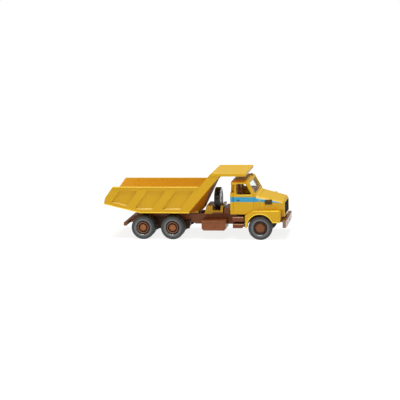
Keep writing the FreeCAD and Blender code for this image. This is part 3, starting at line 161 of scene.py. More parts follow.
def stripeAndShades(tree, place, tones, shader):
    look = stripeLook
    axes = addNode(tree, "SeparateXYZ", {0: place}).outputs
    x, y, z = [calc(tree, "DIVIDE", axes[i], mm) for i in range(3)]
    # run and along go from 0 to 1 over the taper and over the bonnet
    run = calc(tree, "SUBTRACT", x, look["taperX"])
    run = calc(tree, "DIVIDE", run, look["tipX"] - look["taperX"], clamp=True)
    top = calc(tree, "SUBTRACT", look["high"], calc(tree, "MULTIPLY", run, look["high"] - look["tipZ"]))
    foot = calc(tree, "SUBTRACT", look["low"], calc(tree, "MULTIPLY", run, look["low"] - look["tipZ"]))
    # the side's distance from the middle: constant along the cab, narrowing along the bonnet
    along = calc(tree, "SUBTRACT", x, look["cabX"])
    along = calc(tree, "DIVIDE", along, look["noseX"] - look["cabX"], clamp=True)
    half = calc(tree, "SUBTRACT", look["cabHalf"] - look["skin"],
                calc(tree, "MULTIPLY", along, look["cabHalf"] - look["noseHalf"]))
    out = calc(tree, "ABSOLUTE", y)
    edges = [calc(tree, "SUBTRACT", top, z), calc(tree, "SUBTRACT", z, foot), calc(tree, "SUBTRACT", out, half)]
    inside = [calc(tree, "DIVIDE", edge, look["soft"], clamp=True) for edge in edges]
    mask = calc(tree, "MULTIPLY", calc(tree, "MULTIPLY", inside[0], inside[1]), inside[2])
    # the print breaks at the seam between cab and bonnet, and behind the intake's slots the bonnet is painted
    # dark: painted shade
    offSeam = calc(tree, "GREATER_THAN", offset(tree, x, look["seamX"]), look["seamHalf"])
    mask = calc(tree, "MULTIPLY", mask, offSeam)
    printed = mixColours(tree, mask, tones, linear(look["colour"]))
    across = within(tree, x, look["intakeX"], look["intakeHalf"])
    level = within(tree, z, look["intakeZ"], look["intakeTall"])
    painted = mixColours(tree, calc(tree, "MULTIPLY", across, level), printed, linear(look["intakeColour"]))
    # the cab's rear corner is painted a deeper, browner tone: painted shade
    beside = within(tree, x, look["cornerX"], look["cornerHalf"])
    beside = calc(tree, "MULTIPLY", beside, calc(tree, "GREATER_THAN", out, look["cornerFrom"]))
    upper = within(tree, z, look["cornerZ"], look["cornerTall"])
    painted = mixColours(tree, calc(tree, "MULTIPLY", beside, upper), painted, linear(look["cornerColour"]))
    # the rear part of the roof's side slopes is painted more orange: painted shade under the canopy
    behind = calc(tree, "LESS_THAN", x, look["roofX"])
    beyond = calc(tree, "GREATER_THAN", out, look["roofFrom"])
    slope = calc(tree, "MULTIPLY", beyond, calc(tree, "GREATER_THAN", z, look["roofZ"]))
    painted = mixColours(tree, calc(tree, "MULTIPLY", behind, slope), painted, linear(look["roofColour"]))
    # the print stops at the door's rear gap, and the handle is picked out in black
    gap = within(tree, x, look["doorX"], look["doorHalf"])
    gap = calc(tree, "MULTIPLY", gap, mask)
    dark = calc(tree, "MAXIMUM", gap, calc(tree, "GREATER_THAN", out, look["handleFrom"]))
    whole = mixColours(tree, dark, painted, linear(look["handleColour"]))
    tree.links.new(whole, shader.inputs["Base Color"])


# the spare wheel's carrier stands on a brown foot, below and ahead of these lines
carrierLook = {"footZ": 13.05, "footX": 8.35}


def carrierFoot(tree, place, tones, shader):
    axes = addNode(tree, "SeparateXYZ", {0: place}).outputs
    low = calc(tree, "LESS_THAN", axes[2], carrierLook["footZ"] * mm)
    ahead = calc(tree, "GREATER_THAN", axes[0], carrierLook["footX"] * mm)
    foot = calc(tree, "MULTIPLY", low, ahead)
    tree.links.new(mixColours(tree, foot, tones, linear(brownLook["colour"])), shader.inputs["Base Color"])


# the bed's sides are warmer and a little paler on their inner faces: painted light, thrown back inside the bed
innerLightLook = {"halfWidth": 13.42, "colour": "#E0A028"}


def bedInnerLight(tree, place, tones, shader):
    axes = addNode(tree, "SeparateXYZ", {0: place}).outputs
    inner = calc(tree, "LESS_THAN", calc(tree, "ABSOLUTE", axes[1]), innerLightLook["halfWidth"] * mm)
    tree.links.new(mixColours(tree, inner, tones, linear(innerLightLook["colour"])), shader.inputs["Base Color"])


# brown polystyrene of the chassis: duller, with the same mould grain
brownLook = {
    "colour": "#84492A", "flowColour": "#7A4224",
    "roughness": 0.3, "shineSpread": 0.06, "ior": 1.59, "shine": 0.16,
    "flowSize": 7.0, "grainSize": 0.3, "grainDepth": 0.012, "grainStrength": 0.4,
}
# the bumper comes from a polished mould: smooth, so that it mirrors the pale studio
polishedLook = dict(brownLook, roughness=0.22, shine=0.75)
# the rear springs: the same plastic, painted a much darker tone as the shade between the wheels and under the
# bed
paintedShadeLook = dict(brownLook, colour="#40210F", flowColour="#3A1D0D")
# the steps' treads: a darker tone, with pale edges that are painted highlights
stepLook = dict(brownLook, colour="#743D26", flowColour="#6A3822", shine=0.12, beadColour="#B07C62")
# the side intakes' slots: dull dark paint over the yellow
intakeLook = dict(brownLook, colour="#54401C", flowColour="#4A3818", roughness=0.45)
# the rims: a clearer, redder brown
rimLook = dict(brownLook, colour="#8C4E30", flowColour="#80452A")
# seats, dashboard and cab floor: a dull reddish brown
interiorLook = dict(brownLook, colour="#A86644", flowColour="#985A3A", roughness=0.5)
# soft vinyl of the tyres: a dull grey, whose rings of painted shade and light come from tyreRings
vinylLook = {
    "colour": "#605E60", "flowColour": "#6A686A",
    "roughness": 0.5, "shineSpread": 0.08, "ior": 1.53, "shine": 0.3,
    "flowSize": 2.2, "grainSize": 0.16, "grainDepth": 0.02, "grainStrength": 0.6,
}
# black polystyrene of the spare wheel: deep and glossy
blackLook = {
    "colour": "#111113", "flowColour": "#17171A", "roughness": 0.18, "shineSpread": 0.04, "ior": 1.59,
    "flowSize": 5.0, "grainSize": 0.5, "grainDepth": 0.006, "grainStrength": 0.3,
}
# the grille's relief under matt black paint: hardly any shine
grilleLook = dict(blackLook, roughness=0.5, shine=0.02)
# amber polystyrene of the roof knob, painted a dark olive: the shade that it sits in
shadedAmberLook = dict(brownLook, colour="#8E7A3C", flowColour="#82703A", roughness=0.35)
# red paint of the rear lamps: nearly black, with a sharp shine
redLook = dict(blackLook, colour="#4A1712", flowColour="#3E130F", roughness=0.22)
# silver paint of the lamps: pale, with a slight metallic sheen
silverLook = {
    "colour": "#CFC9BD", "flowColour": "#C6BFB2", "roughness": 0.3, "shineSpread": 0.06,
    "flowSize": 1.5, "grainSize": 0.12, "grainDepth": 0.006, "grainStrength": 0.4,
}
# drawn steel wire of the axles and the pin: grey metal
steelLook = {
    "colour": "#9C9C9C", "flowColour": "#909090", "roughness": 0.28, "shineSpread": 0.05,
    "flowSize": 1.2, "grainSize": 0.15, "grainDepth": 0.004, "grainStrength": 0.4,
}
# clear polystyrene of the panes: water-clear, thin enough to bend hardly any light
clearLook = {"colour": "#F4F8F8", "roughness": 0.02, "ior": 1.06}


def makePlain(name, look, metallic=0.0, colour=None):
    material, tree, shader = newMaterial(name, look)
    shader.inputs["Metallic"].default_value = metallic
    finishPlastic(tree, shader, look, colour)
    return material


def makeClear():
    material, tree, shader = newMaterial("clear_polystyrene", clearLook)
    shader.inputs["Base Color"].default_value = linear(clearLook["colour"])
    shader.inputs["Transmission Weight"].default_value = 1.0
    return material


# the radius that the ramp of ring colours reaches, and the share that it has over the plastic's own tone
ringLook = {"span": 8.0, "share": 0.9}


def ringTones(tree, tones, stops):
    # the colour at each distance from the axle, with a little of the melt's flow kept in it
    distance = addNode(tree, "Attribute", attribute_name="axleDistance").outputs["Fac"]
    ramp = addNode(tree, "ValToRGB", {"Fac": calc(tree, "DIVIDE", distance, ringLook["span"])})
    marks = ramp.color_ramp.elements
    while len(marks) < len(stops):
        marks.new(1.0)
    for mark, (radius, hexColour) in zip(marks, stops):
        mark.position = radius / ringLook["span"]
        mark.color = linear(hexColour)
    return mixColours(tree, ringLook["share"], tones, ramp.outputs["Color"])


# rings of colour by radius, from the bead out to the tread, and from the hub out to the rim's edge; the dark
# rings are painted shade in the rims' dish and groove and on the tyres' bead and shoulder, and the tyres' paler
# middle ring is painted light
tyreRings = [(3.35, "#2E2A2D"), (3.7, "#4E4A4D"), (4.1, "#656163"), (4.4, "#5F5C5E"), (4.8, "#464345"),
             (5.2, "#343133"), (6.2, "#312F31")]
tyreGloss = {"from": 4.0, "to": 4.15, "share": 0.42, "shine": 1.0}
rimRings = {
    "front": [(0.5, "#784622"), (0.75, "#6C3C1E"), (1.15, "#824C28"), (1.6, "#7E4824"), (1.95, "#744222"),
              (2.35, "#54301C"), (2.65, "#3A241C"), (3.3, "#302624")],
    "rear": [(1.66, "#945834"), (1.8, "#54220C"), (2.4, "#5A2A14"), (2.52, "#74503E"), (2.98, "#6C4A3C"),
             (3.08, "#34221C")],
}


def makeRinged(name, look, stops, gloss=None):
    def colourRings(tree, place, tones, shader):
        tree.links.new(ringTones(tree, tones, stops), shader.inputs["Base Color"])

    material, tree, shader = newMaterial(name, look)
    finishPlastic(tree, shader, look, colourRings)
    if gloss:
        # the bead's slope is polished by the mould: smoother and shinier than the side
        distance = addNode(tree, "Attribute", attribute_name="axleDistance").outputs["Fac"]
        span = {"Value": distance, "From Min": gloss["from"], "From Max": gloss["to"]}
        dull = addNode(tree, "MapRange", dict(span, **{"To Min": gloss["share"], "To Max": 1.0}))
        plain = shader.inputs["Roughness"].links[0].from_socket
        rough = calc(tree, "MULTIPLY", plain, dull.outputs["Result"])
        tree.links.new(rough, shader.inputs["Roughness"])
        level = addNode(tree, "MapRange", dict(span, **{"To Min": gloss["shine"], "To Max": look["shine"]}))
        tree.links.new(level.outputs["Result"], shader.inputs["Specular IOR Level"])
    return material


finishes = {
    "body_yellow": makePlain("yellow_polystyrene", yellowLook),
    "chassis_brown": makePlain("brown_polystyrene", brownLook),
    "rim_brown": makePlain("brown_polystyrene_rims", rimLook),
    "tyre_vinyl": makeRinged("grey_vinyl", vinylLook, tyreRings, tyreGloss),
    "spare_black": makePlain("black_polystyrene", blackLook),
    "axle_steel": makePlain("drawn_steel", steelLook, metallic=1.0),
    "window_clear": makeClear(),
    "grille_black": makePlain("black_painted_relief", grilleLook),
    "lamp_lens": makePlain("silver_paint", silverLook, metallic=0.3),
    "rear_lamp_red": makePlain("red_paint", redLook),
    "beacon_olive": makePlain("amber_polystyrene", shadedAmberLook),
    "interior_brown": makePlain("brown_polystyrene_inside", interiorLook),
}
# finishes of single nodes, in place of their slot's
special = {
    "cab_shell": makePlain("yellow_polystyrene_printed", yellowLook, colour=stripeAndShades),
    "bed_front_wall": makePlain("yellow_polystyrene_core", shadedWallLook),
    "bed_side_right": makePlain("yellow_polystyrene_two_faced", yellowLook, colour=bedInnerLight),
    "spare_wheel_carrier": makePlain("yellow_polystyrene_on_brown", yellowLook, colour=carrierFoot),
    "bumper": makePlain("brown_polystyrene_polished", polishedLook),
    "rear_springs": makePlain("brown_polystyrene_dark", paintedShadeLook),
    "steps_right": makePlain("brown_polystyrene_treads", stepLook),
    "side_intakes": makePlain("brown_painted_relief", intakeLook),
}
for node, twin in (("bonnet", "cab_shell"), ("bed_side_left", "bed_side_right"), ("steps_left", "steps_right")):
    special[node] = special[twin]
for node, obj in frame["nodes"].items():
    obj.data.materials.clear()
    obj.data.materials.append(special.get(node, finishes[slotOf[node]]))
print("materials:", len(bpy.data.materials))


# moulded pieces: the CAD pieces with the small rounded edges that a steel mould gives
edgeRadius = {
    "bed_side_right": 0.22, "bed_side_left": 0.22, "bed_canopy": 0.16, "bed_front_wall": 0.1, "bed_floor": 0.08,
    "bed_subframe": 0.06, "cab_shell": 0.13, "bonnet": 0.11, "fender_right": 0.38, "fender_left": 0.38,
    "bumper": 0.16, "tank_right": 0.1, "tank_left": 0.1, "steps_right": 0.28, "steps_left": 0.28,
    "spare_wheel_carrier": 0.12, "cab_mount_block": 0.12, "chassis_frame": 0.07, "front_springs": 0.07,
    "rear_springs": 0.07, "driveline": 0.08, "rear_light_bar": 0.12, "rear_lamps": 0.05, "headlamps": 0.08,
    "radiator_grille": 0.04, "side_intakes": 0.04, "cab_seats": 0.25, "dashboard": 0.12, "cab_floor": 0.05,
    "steering_wheel": 0.08, "spare_rim": 0.1,
}

# vertices closer than merge become one; angles in degrees: flatter edges go, sharper ones are rounded
mouldLook = {"merge": 0.002, "flatAngle": 0.6, "sharpAngle": 22, "segments": 3}
arcMitred = {"spare_wheel_carrier"}  # its thin gussets overlap themselves with sharp mitres

# the bed's sides: each sunk panel has a sloping foot, whose outer edge sits below its inner one
sideLook = {
    "floor": 13.85, "face": 14.3, "below": 23.0, "near": 0.02,
    "deeper": 0.18, "rise": 0.1, "drop": 0.55, "lean": 0.77,
}


def shapeBedSide(mesh):
    # low corners of the face go down along the slope, those of the sunk floors go up it, and the floors sink
    look = sideLook
    feet = [v for v in mesh.verts if abs(abs(v.co.y / mm) - look["floor"]) < look["near"]]
    slope = Vector((look["lean"], 0, 1)) * mm
    reach = look["near"] * mm
    for vertex in mesh.verts:
        if abs(abs(vertex.co.y / mm) - look["face"]) < look["near"] and vertex.co.z / mm < look["below"]:
            if any(math.hypot(vertex.co.x - foot.co.x, vertex.co.z - foot.co.z) < reach for foot in feet):
                vertex.co -= slope * look["drop"]
    for vertex in feet:
        if vertex.co.z / mm < look["below"]:
            vertex.co += slope * look["rise"]
        vertex.co.y -= math.copysign(look["deeper"] * mm, vertex.co.y)


# the bonnet closes up to the cab: what lies behind rearX moves back
bonnetLook = {"rearX": 34.3, "closer": 0.22}


def shapeBonnet(mesh):
    for vertex in mesh.verts:
        if vertex.co.x / mm < bonnetLook["rearX"]:
            vertex.co.x -= bonnetLook["closer"] * mm


# the wheel arch: its centre in x and z, and the angles in degrees that its lip runs from and to
archLook = {"centre": (34.25, 6.7), "radius": 7.04, "from": 183, "to": 22, "steps": 60, "end": (44.6, 9.36)}
archAngles = np.radians(np.linspace(archLook["from"], archLook["to"], archLook["steps"]))
archArc = [tuple(np.array(archLook["centre"]) + archLook["radius"] * np.array([math.cos(a), math.sin(a)]))
           for a in archAngles]
# raised beads along edges: round tubes on paths at one y each, given as (points in x and z, y, radius)
beadPaths = {
    "bed_side": [([(-42.9, 27.74), (2.4, 27.74)], 14.34, 0.26),
                 ([(-47.7, 18.97), (-28.65, 14.35), (-2.5, 14.35)], 14.28, 0.3)],
    "fender": [(archArc + [archLook["end"]], 13.9, 0.26), ([(30.9, 15.15), (44.0, 15.15)], 13.8, 0.25)],
    "steps": [([(20.3, 11.95), (25.8, 11.95)], 13.85, 0.24), ([(20.3, 8.3), (25.8, 8.3)], 13.85, 0.24)],
    "spare_wheel": [([(8.5, 13.72), (13.2, 13.72)], 6.1, 0.26), ([(13.3, 13.4), (13.85, 16.5)], 6.0, 0.2)],
    "cab_shell": [([(20.3, 29.75), (27.0, 29.75)], 12.3, 0.3), ([(22.2, 23.45), (30.2, 23.45)], 12.85, 0.2)],
}


beadLook = {"sides": 24, "cornered": 8}  # a path with more points than `cornered` is a curve


def addBead(mesh, points, y, radius):
    # each ring lies across the path: radius times cos in x and z, times sin in y; a sharp turn has one ring
    path = np.array(points, float)
    if len(path) > beadLook["cornered"]:
        run = np.gradient(path, axis=0)
    else:
        run = np.vstack([np.diff(path, axis=0), path[-1] - path[-2]])
    run /= np.linalg.norm(run, axis=1)[:, None]
    run[1:-1] = run[1:-1] + run[:-2]
    run /= np.linalg.norm(run, axis=1)[:, None]
    turn = np.linspace(0, 2 * np.pi, beadLook["sides"], endpoint=False)
    bead = mesh.verts.layers.float["litEdge"]
    rings = [[mesh.verts.new(Vector((x - dz * math.cos(t) * radius, y + math.sin(t) * radius,
                                     z + dx * math.cos(t) * radius)) * mm) for t in turn]
             for (x, z), (dx, dz) in zip(path, run)]
    for ring in rings:
        for vertex in ring:
            vertex[bead] = 1.0
    for one, two in zip(rings, rings[1:]):
        for i in range(len(turn)):
            j = (i + 1) % len(turn)
            mesh.faces.new((one[i], one[j], two[j], two[i]))
    for ring in (rings[0], rings[-1]):
        mesh.faces.new(ring)


# ribs inside the windscreen's sides: foot and top of the pane's inner face in x and z, depth, and reach in y
ribLook = {"foot": (31.05, 24.1), "top": (28.32, 29.2), "depth": 1.6, "outer": 10.75, "inner": 10.35}


def addScreenRibs(mesh):
    foot, top = np.array(ribLook["foot"]), np.array(ribLook["top"])
    run = (top - foot) / np.linalg.norm(top - foot)
    inward = np.array([-run[1], run[0]]) * ribLook["depth"]
    outline = [foot, top, top + inward, foot + inward]
    for side in (1, -1):
        rings = [[mesh.verts.new(Vector((x, side * y, z)) * mm) for x, z in outline]
                 for y in (ribLook["inner"], ribLook["outer"])]
        for i in range(4):
            j = (i + 1) % 4
            mesh.faces.new((rings[0][i], rings[0][j], rings[1][j], rings[1][i]))
        for ring in rings:
            mesh.faces.new(ring)


def roundedCopy(node, radius):
    obj = bpy.data.objects.new(node + "_moulded", frame["nodes"][node].data.copy())
    bpy.context.scene.collection.objects.link(obj)
    mesh = bmesh.new()
    mesh.from_mesh(obj.data)
    bmesh.ops.remove_doubles(mesh, verts=mesh.verts, dist=mouldLook["merge"] * mm)
    if node.startswith("bed_side"):
        shapeBedSide(mesh)
    elif node == "bonnet":
        shapeBonnet(mesh)
    bmesh.ops.dissolve_degenerate(mesh, edges=mesh.edges, dist=mouldLook["merge"] * mm)
    flat = math.radians(mouldLook["flatAngle"])
    bmesh.ops.dissolve_limit(mesh, angle_limit=flat, verts=mesh.verts, edges=mesh.edges)
    mesh.verts.layers.float.new("litEdge")
    moulded = set(mesh.faces)
    for start, beads in beadPaths.items():
        if node.startswith(start):
            sides = [-1] if node.endswith("right") else [1] if node.endswith("left") else [1, -1]
            for points, y, bead in beads:
                for side in sides:
                    addBead(mesh, points, side * y, bead)
    if node == "cab_shell":
        addScreenRibs(mesh)
    bmesh.ops.recalc_face_normals(mesh, faces=[face for face in mesh.faces if face not in moulded])
    for face in mesh.faces:
        face.smooth = True
    mesh.to_mesh(obj.data)
    mesh.free()
    if obj.data.attributes.get("custom_normal"):
        obj.data.attributes.remove(obj.data.attributes["custom_normal"])
    bevel = obj.modifiers.new("mould_radius", "BEVEL")
    bevel.width = radius * mm
    bevel.segments = mouldLook["segments"]
    bevel.limit_method = "ANGLE"
    bevel.angle_limit = math.radians(mouldLook["sharpAngle"])
    bevel.harden_normals = True
    bevel.miter_outer = "MITER_ARC" if node in arcMitred else "MITER_SHARP"
    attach(obj, bodyOf[node])
    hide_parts(node)


for node, radius in edgeRadius.items():
    roundedCopy(node, radius)
print("rounded pieces:", len(edgeRadius))


gridMerge = 0.001  # grid points closer than this become one


def gridMesh(name, points, material, closeRows=False):
    # points is rows x columns x 3 in mm; neighbours are joined by four-sided faces, and each row closes
    rows, columns = points.shape[:2]
    index = np.arange(rows * columns).reshape(rows, columns)
    if closeRows:
        index = np.vstack([index, index[:1]])
    index = np.hstack([index, index[:, :1]])
    quads = np.stack([index[:-1, :-1], index[:-1, 1:], index[1:, 1:], index[1:, :-1]], axis=-1).reshape(-1, 4)
    data = bpy.data.meshes.new(name)
    data.from_pydata((points.reshape(-1, 3) * mm).tolist(), [], quads.tolist())
    mesh = bmesh.new()
    mesh.from_mesh(data)
    bmesh.ops.remove_doubles(mesh, verts=mesh.verts, dist=gridMerge * mm)
    bmesh.ops.recalc_face_normals(mesh, faces=mesh.faces)
    for face in mesh.faces:
        face.smooth = True
    mesh.to_mesh(data)
    mesh.free()
    data.materials.append(material)
    return data


def turned(along, radius, axis, centre):
    # a point sits at `along` on the axle and `radius` away from it, at an angle that runs round the columns
    angle = np.linspace(0, 2 * np.pi, along.shape[1], endpoint=False)[None, :]
    a = np.asarray(axis, float)
    up = np.array([0.0, 0.0, 1.0])
    side = np.cross(up, a)
    return (np.asarray(centre, float) + along[..., None] * a
            + (radius * np.cos(angle))[..., None] * up + (radius * np.sin(angle))[..., None] * side)


def addPiece(name, datas, node):
    # several meshes as one object that stands for a CAD node
    mesh = bmesh.new()
    for data in datas:
        mesh.from_mesh(data)
    whole = bpy.data.meshes.new(name)
    mesh.to_mesh(whole)
    mesh.free()
    whole.materials.append(datas[0].materials[0])
    obj = bpy.data.objects.new(name, whole)
    bpy.context.scene.collection.objects.link(obj)
    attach(obj, bodyOf[node])
    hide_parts(node)
    return obj


def markRadius(obj, axis, centre):
    # each vertex keeps its distance from the axle in mm, for finishes that change ring by ring
    points = np.empty(len(obj.data.vertices) * 3)
    obj.data.vertices.foreach_get("co", points)
    arm = points.reshape(-1, 3) / mm - np.asarray(centre, float)
    across = np.cross(arm, np.asarray(axis, float))
    mark = obj.data.attributes.new("axleDistance", "FLOAT", "POINT")
    mark.data.foreach_set("value", np.linalg.norm(across, axis=1).astype(np.float32))


# tyres: a closed section swept round the axle, with a cut tread
tyreLook = {
    "bead": 3.35, "width": 3.2, "notches": 34, "notchSteps": 6, "notchWide": 2, "notchDepth": 0.22,
    "tread": [(0.0, 1), (0.13, 1), (0.17, 0), (0.55, 0), (0.59, 1), (0.72, 1), (0.76, 0)],  # 1 is cut
    "ribDepth": 0.2, "shoulderIn": 0.44, "shoulderWide": 0.36, "shoulderFall": 0.55, "crown": 0.02,
    "shoulderRows": 8, "sideRows": 6, "slopeRows": 6,
    "ringRadius": 5.28, "ringIn": 0.06, "ringLift": 0.04,
    "ringRows": [(0.16, 0), (0.09, 1), (-0.06, 1), (-0.13, 0)],  # radius from the ring's own; 1 is lifted
    "sideFrom": 5.13, "sideIn": 0.05, "bulge": 0.1, "slopeFrom": 4.05, "slopeIn": 0.15, "slopeFall": 0.62,
}


def tyreSection(radius):
    # half the section, from the middle of the tread down the side to the bead, as (distance from the middle,
    # radius, share of the notches' depth)
    look = tyreLook
    half = look["width"] / 2
    rows = [(w, radius - look["ribDepth"] * cut, 0.0) for w, cut in look["tread"]]
    for t in np.linspace(0, 1, look["shoulderRows"]):
        # the shoulder falls on a quarter round from the tread to the side
        out = half - look["shoulderIn"] + look["shoulderWide"] * math.sin(t * math.pi / 2)
        down = look["crown"] + look["shoulderFall"] * (1 - math.cos(t * math.pi / 2))
        rows.append((out, radius - down, 1.0 - t))
    for up, lift in look["ringRows"]:
        rows.append((half - look["ringIn"] + look["ringLift"] * lift, look["ringRadius"] + up, 0.0))
    for t in np.linspace(0.1, 1, look["sideRows"]):
        # the side draws in by the cube of t, down to the slope
        out = half - look["sideIn"] - look["bulge"] * t ** 3
        rows.append((out, look["sideFrom"] - (look["sideFrom"] - look["slopeFrom"]) * t, 0.0))
    for t in np.linspace(0.15, 1, look["slopeRows"]):
        # and then slopes straight in to the bead
        out = half - look["slopeIn"] - look["slopeFall"] * t
        rows.append((out, look["slopeFrom"] - (look["slopeFrom"] - look["bead"]) * t, 0.0))
    return np.array(rows)


def tyreData(name, radius, axis, centre):
    # the half section and its mirror image carried round the axle; notches cut the shoulder at equal angles
    look = tyreLook
    half = tyreSection(radius)
    lower = half[1:] * np.array([-1, 1, 1])
    section = np.vstack([lower[::-1], half])
    steps = look["notches"] * look["notchSteps"]
    place = np.arange(steps) % look["notchSteps"]
    beat = (place >= look["notchSteps"] - look["notchWide"]).astype(float)[None, :]
    along = np.repeat(section[:, :1], steps, axis=1)
    outer = section[:, 1:2] - look["notchDepth"] * section[:, 2:3] * beat
    return gridMesh(name, turned(along, outer, axis, centre), finishes["tyre_vinyl"], closeRows=True)


def tyreMiddles(node):
    # centre of each tyre in a node: one, or a twin pair side by side
    low, high = boxMm(node)
    middle = (low + high) / 2
    if high[1] - low[1] < 1.5 * tyreLook["width"]:
        return [middle]
    inset = np.array([0, tyreLook["width"] / 2, 0])
    return [np.array([middle[0], low[1], middle[2]]) + inset, np.array([middle[0], high[1], middle[2]]) - inset]


axle = (0, 1, 0)
wheelTyres = [node for node in bodyOf if "_tyre" in node and node != "spare_tyre"]
for node in wheelTyres:
    low, high = boxMm(node)
    radius = (high[0] - low[0]) / 2
    middles = tyreMiddles(node)
    datas = [tyreData(node + "_part%d" % i, radius, axle, middle) for i, middle in enumerate(middles)]
    tyre = addPiece(node + "_vinyl", datas, node)
    markRadius(tyre, axle, (low + high) / 2)
low, high = boxMm("spare_tyre")
spare = tyreData("spare_part", (high[1] - low[1]) / 2, (1, 0, 0), (low + high) / 2)
spare.materials[0] = finishes["spare_black"]
addPiece("spare_tyre_glossy", [spare], "spare_tyre")
print("tyres:", len(wheelTyres) + 1, "nodes")


# rims: a turned dish with a ring of nuts, a hub and a sunk groove beside the tyre; their faces are
# (radius, height) from the hub's middle outwards, and height 0 is the rim's outer face
rimLooks = {
    "front": {"face": [(0, 0.1), (0.4, 0.1), (0.62, 0.06), (0.68, -0.02), (0.7, -0.16), (1.45, -0.16),
                       (1.52, -0.2), (1.56, -0.3), (2.42, -0.34), (2.5, -0.38), (2.55, -0.45), (2.6, -0.72),
                       (3.16, -0.72), (3.22, -0.5), (3.26, -0.16), (3.3, -0.1)],
              "nuts": 10, "nutCircle": 2.0, "nutRadius": 0.17, "nutHeight": 0.2},
    "rear": {"face": [(0, -0.14), (0.4, -0.14), (0.66, -0.18), (0.74, -0.26), (0.78, -0.38), (1.6, -0.4),
                      (1.7, -0.45), (1.74, -0.55), (1.78, -1.66), (1.84, -1.7), (2.36, -1.7), (2.44, -1.62),
                      (2.5, -0.2), (2.54, -0.1), (2.6, -0.06), (2.9, -0.06), (2.97, -0.1), (3.0, -0.2),
                      (3.02, -0.5), (3.2, -0.5), (3.26, -0.3), (3.3, -0.14)],
             "nuts": 8, "nutCircle": 1.2, "nutRadius": 0.15, "nutHeight": 0.14},
}
# extra rings for the nuts lie between fineFrom and fineTo; a nut's flank is nutFlank wide
rimMesh = {
    "steps": 160, "fineFrom": 0.8, "fineTo": 2.4, "fineRings": 33,
    "nutFlank": 0.07, "edgeIn": 0.02, "edgeFall": 0.04,
}


def rimSection(look, outerRadius, depth):
    # the face with extra rings between its points, then over the outer edge and back to the inner side
    face = np.array(look["face"])
    extra = np.linspace(rimMesh["fineFrom"], rimMesh["fineTo"], rimMesh["fineRings"])
    fine = np.unique(np.concatenate([face[:, 0], extra]))
    rows = np.stack([fine, np.interp(fine, face[:, 0], face[:, 1])], axis=1)
    edge = outerRadius - rimMesh["edgeIn"]
    rear = [(edge, face[-1, 1] - rimMesh["edgeFall"]), (edge, -depth), (0, -depth)]
    return np.vstack([rows, rear])


def rimData(name, look, outerRadius, side, centre, depth, material):
    section = rimSection(look, outerRadius, depth)
    steps = rimMesh["steps"]
    angle = np.linspace(0, 2 * np.pi, steps, endpoint=False)[None, :]
    radius = np.repeat(section[:, :1], steps, axis=1)
    # nuts are round bumps at equal angles on one circle
    turnPer = 2 * np.pi / look["nuts"]
    nearest = (angle + turnPer / 2) % turnPer - turnPer / 2
    gap = np.hypot(radius * np.cos(nearest) - look["nutCircle"], radius * np.sin(nearest))
    nut = np.clip((look["nutRadius"] - gap) / rimMesh["nutFlank"] + 1, 0, 1) * (section[:, 1:2] > -depth)
    height = section[:, 1:2] + look["nutHeight"] * nut
    return gridMesh(name, turned(height * side, radius, axle, centre), material)


rimFinish = {}
for kind, stops in rimRings.items():
    rimFinish[kind] = makeRinged("brown_polystyrene_rim_" + kind, rimLook, stops)
rimNodes = [node for node in bodyOf if "_rim_" in node]
for node in rimNodes:
    low, high = boxMm(node)
    side = 1 if high[1] > 0 else -1
    middle = (low + high) / 2
    face = np.array([middle[0], high[1] if side > 0 else low[1], middle[2]])
    kind = "front" if node.startswith("front") else "rear"
    radius, depth = (high[0] - low[0]) / 2, high[1] - low[1]
    data = rimData(node + "_part", rimLooks[kind], radius, side, face, depth, rimFinish[kind])
    markRadius(addPiece(node + "_dished", [data], node), axle, middle)
print("rims:", len(rimNodes))


# knobs: turned stubs with domed tops; wall and dome share the height
knobLook = {"wall": 0.45, "dome": 0.55, "domeRows": 14, "steps": 48}


def knobData(name, node, material):
    # radius falls to nothing over the dome on a quarter ellipse
    low, high = boxMm(node)
    radius, height = (high[0] - low[0]) / 2, high[2] - low[2]
    t = np.linspace(0, 1, knobLook["domeRows"])
    r = np.concatenate([[0, radius], radius * np.cos(t * np.pi / 2)])
    dome = height * knobLook["dome"] * np.sin(t * np.pi / 2)
    h = np.concatenate([[0, 0], height * knobLook["wall"] + dome])
    steps = knobLook["steps"]
    middle = np.array([(low[0] + high[0]) / 2, (low[1] + high[1]) / 2, low[2]])
    angle = np.linspace(0, 2 * np.pi, steps, endpoint=False)[None, :]
    r, h = r[:, None], np.repeat(h[:, None], steps, axis=1)
    points = np.stack([r * np.cos(angle), r * np.sin(angle), h], axis=-1)
    return gridMesh(name, points + middle, material)


knobNodes = ("roof_beacon", "carrier_knob")
for node in knobNodes:
    addPiece(node + "_domed", [knobData(node + "_part", node, finishes[slotOf[node]])], node)
print("knobs:", len(knobNodes))


# floor and sky, in metres: the floor glows by selfLight of its full share near the model and fully from far on
stageLook = {
    "floorSize": 4.0, "floorColour": "#F2F2F2", "selfLight": 0.8, "glow": 1.06, "near": 0.12, "far": 0.5,
    "sky": 0.35, "skyColour": "#F8F6EE", "mirrored": 0.45,
}


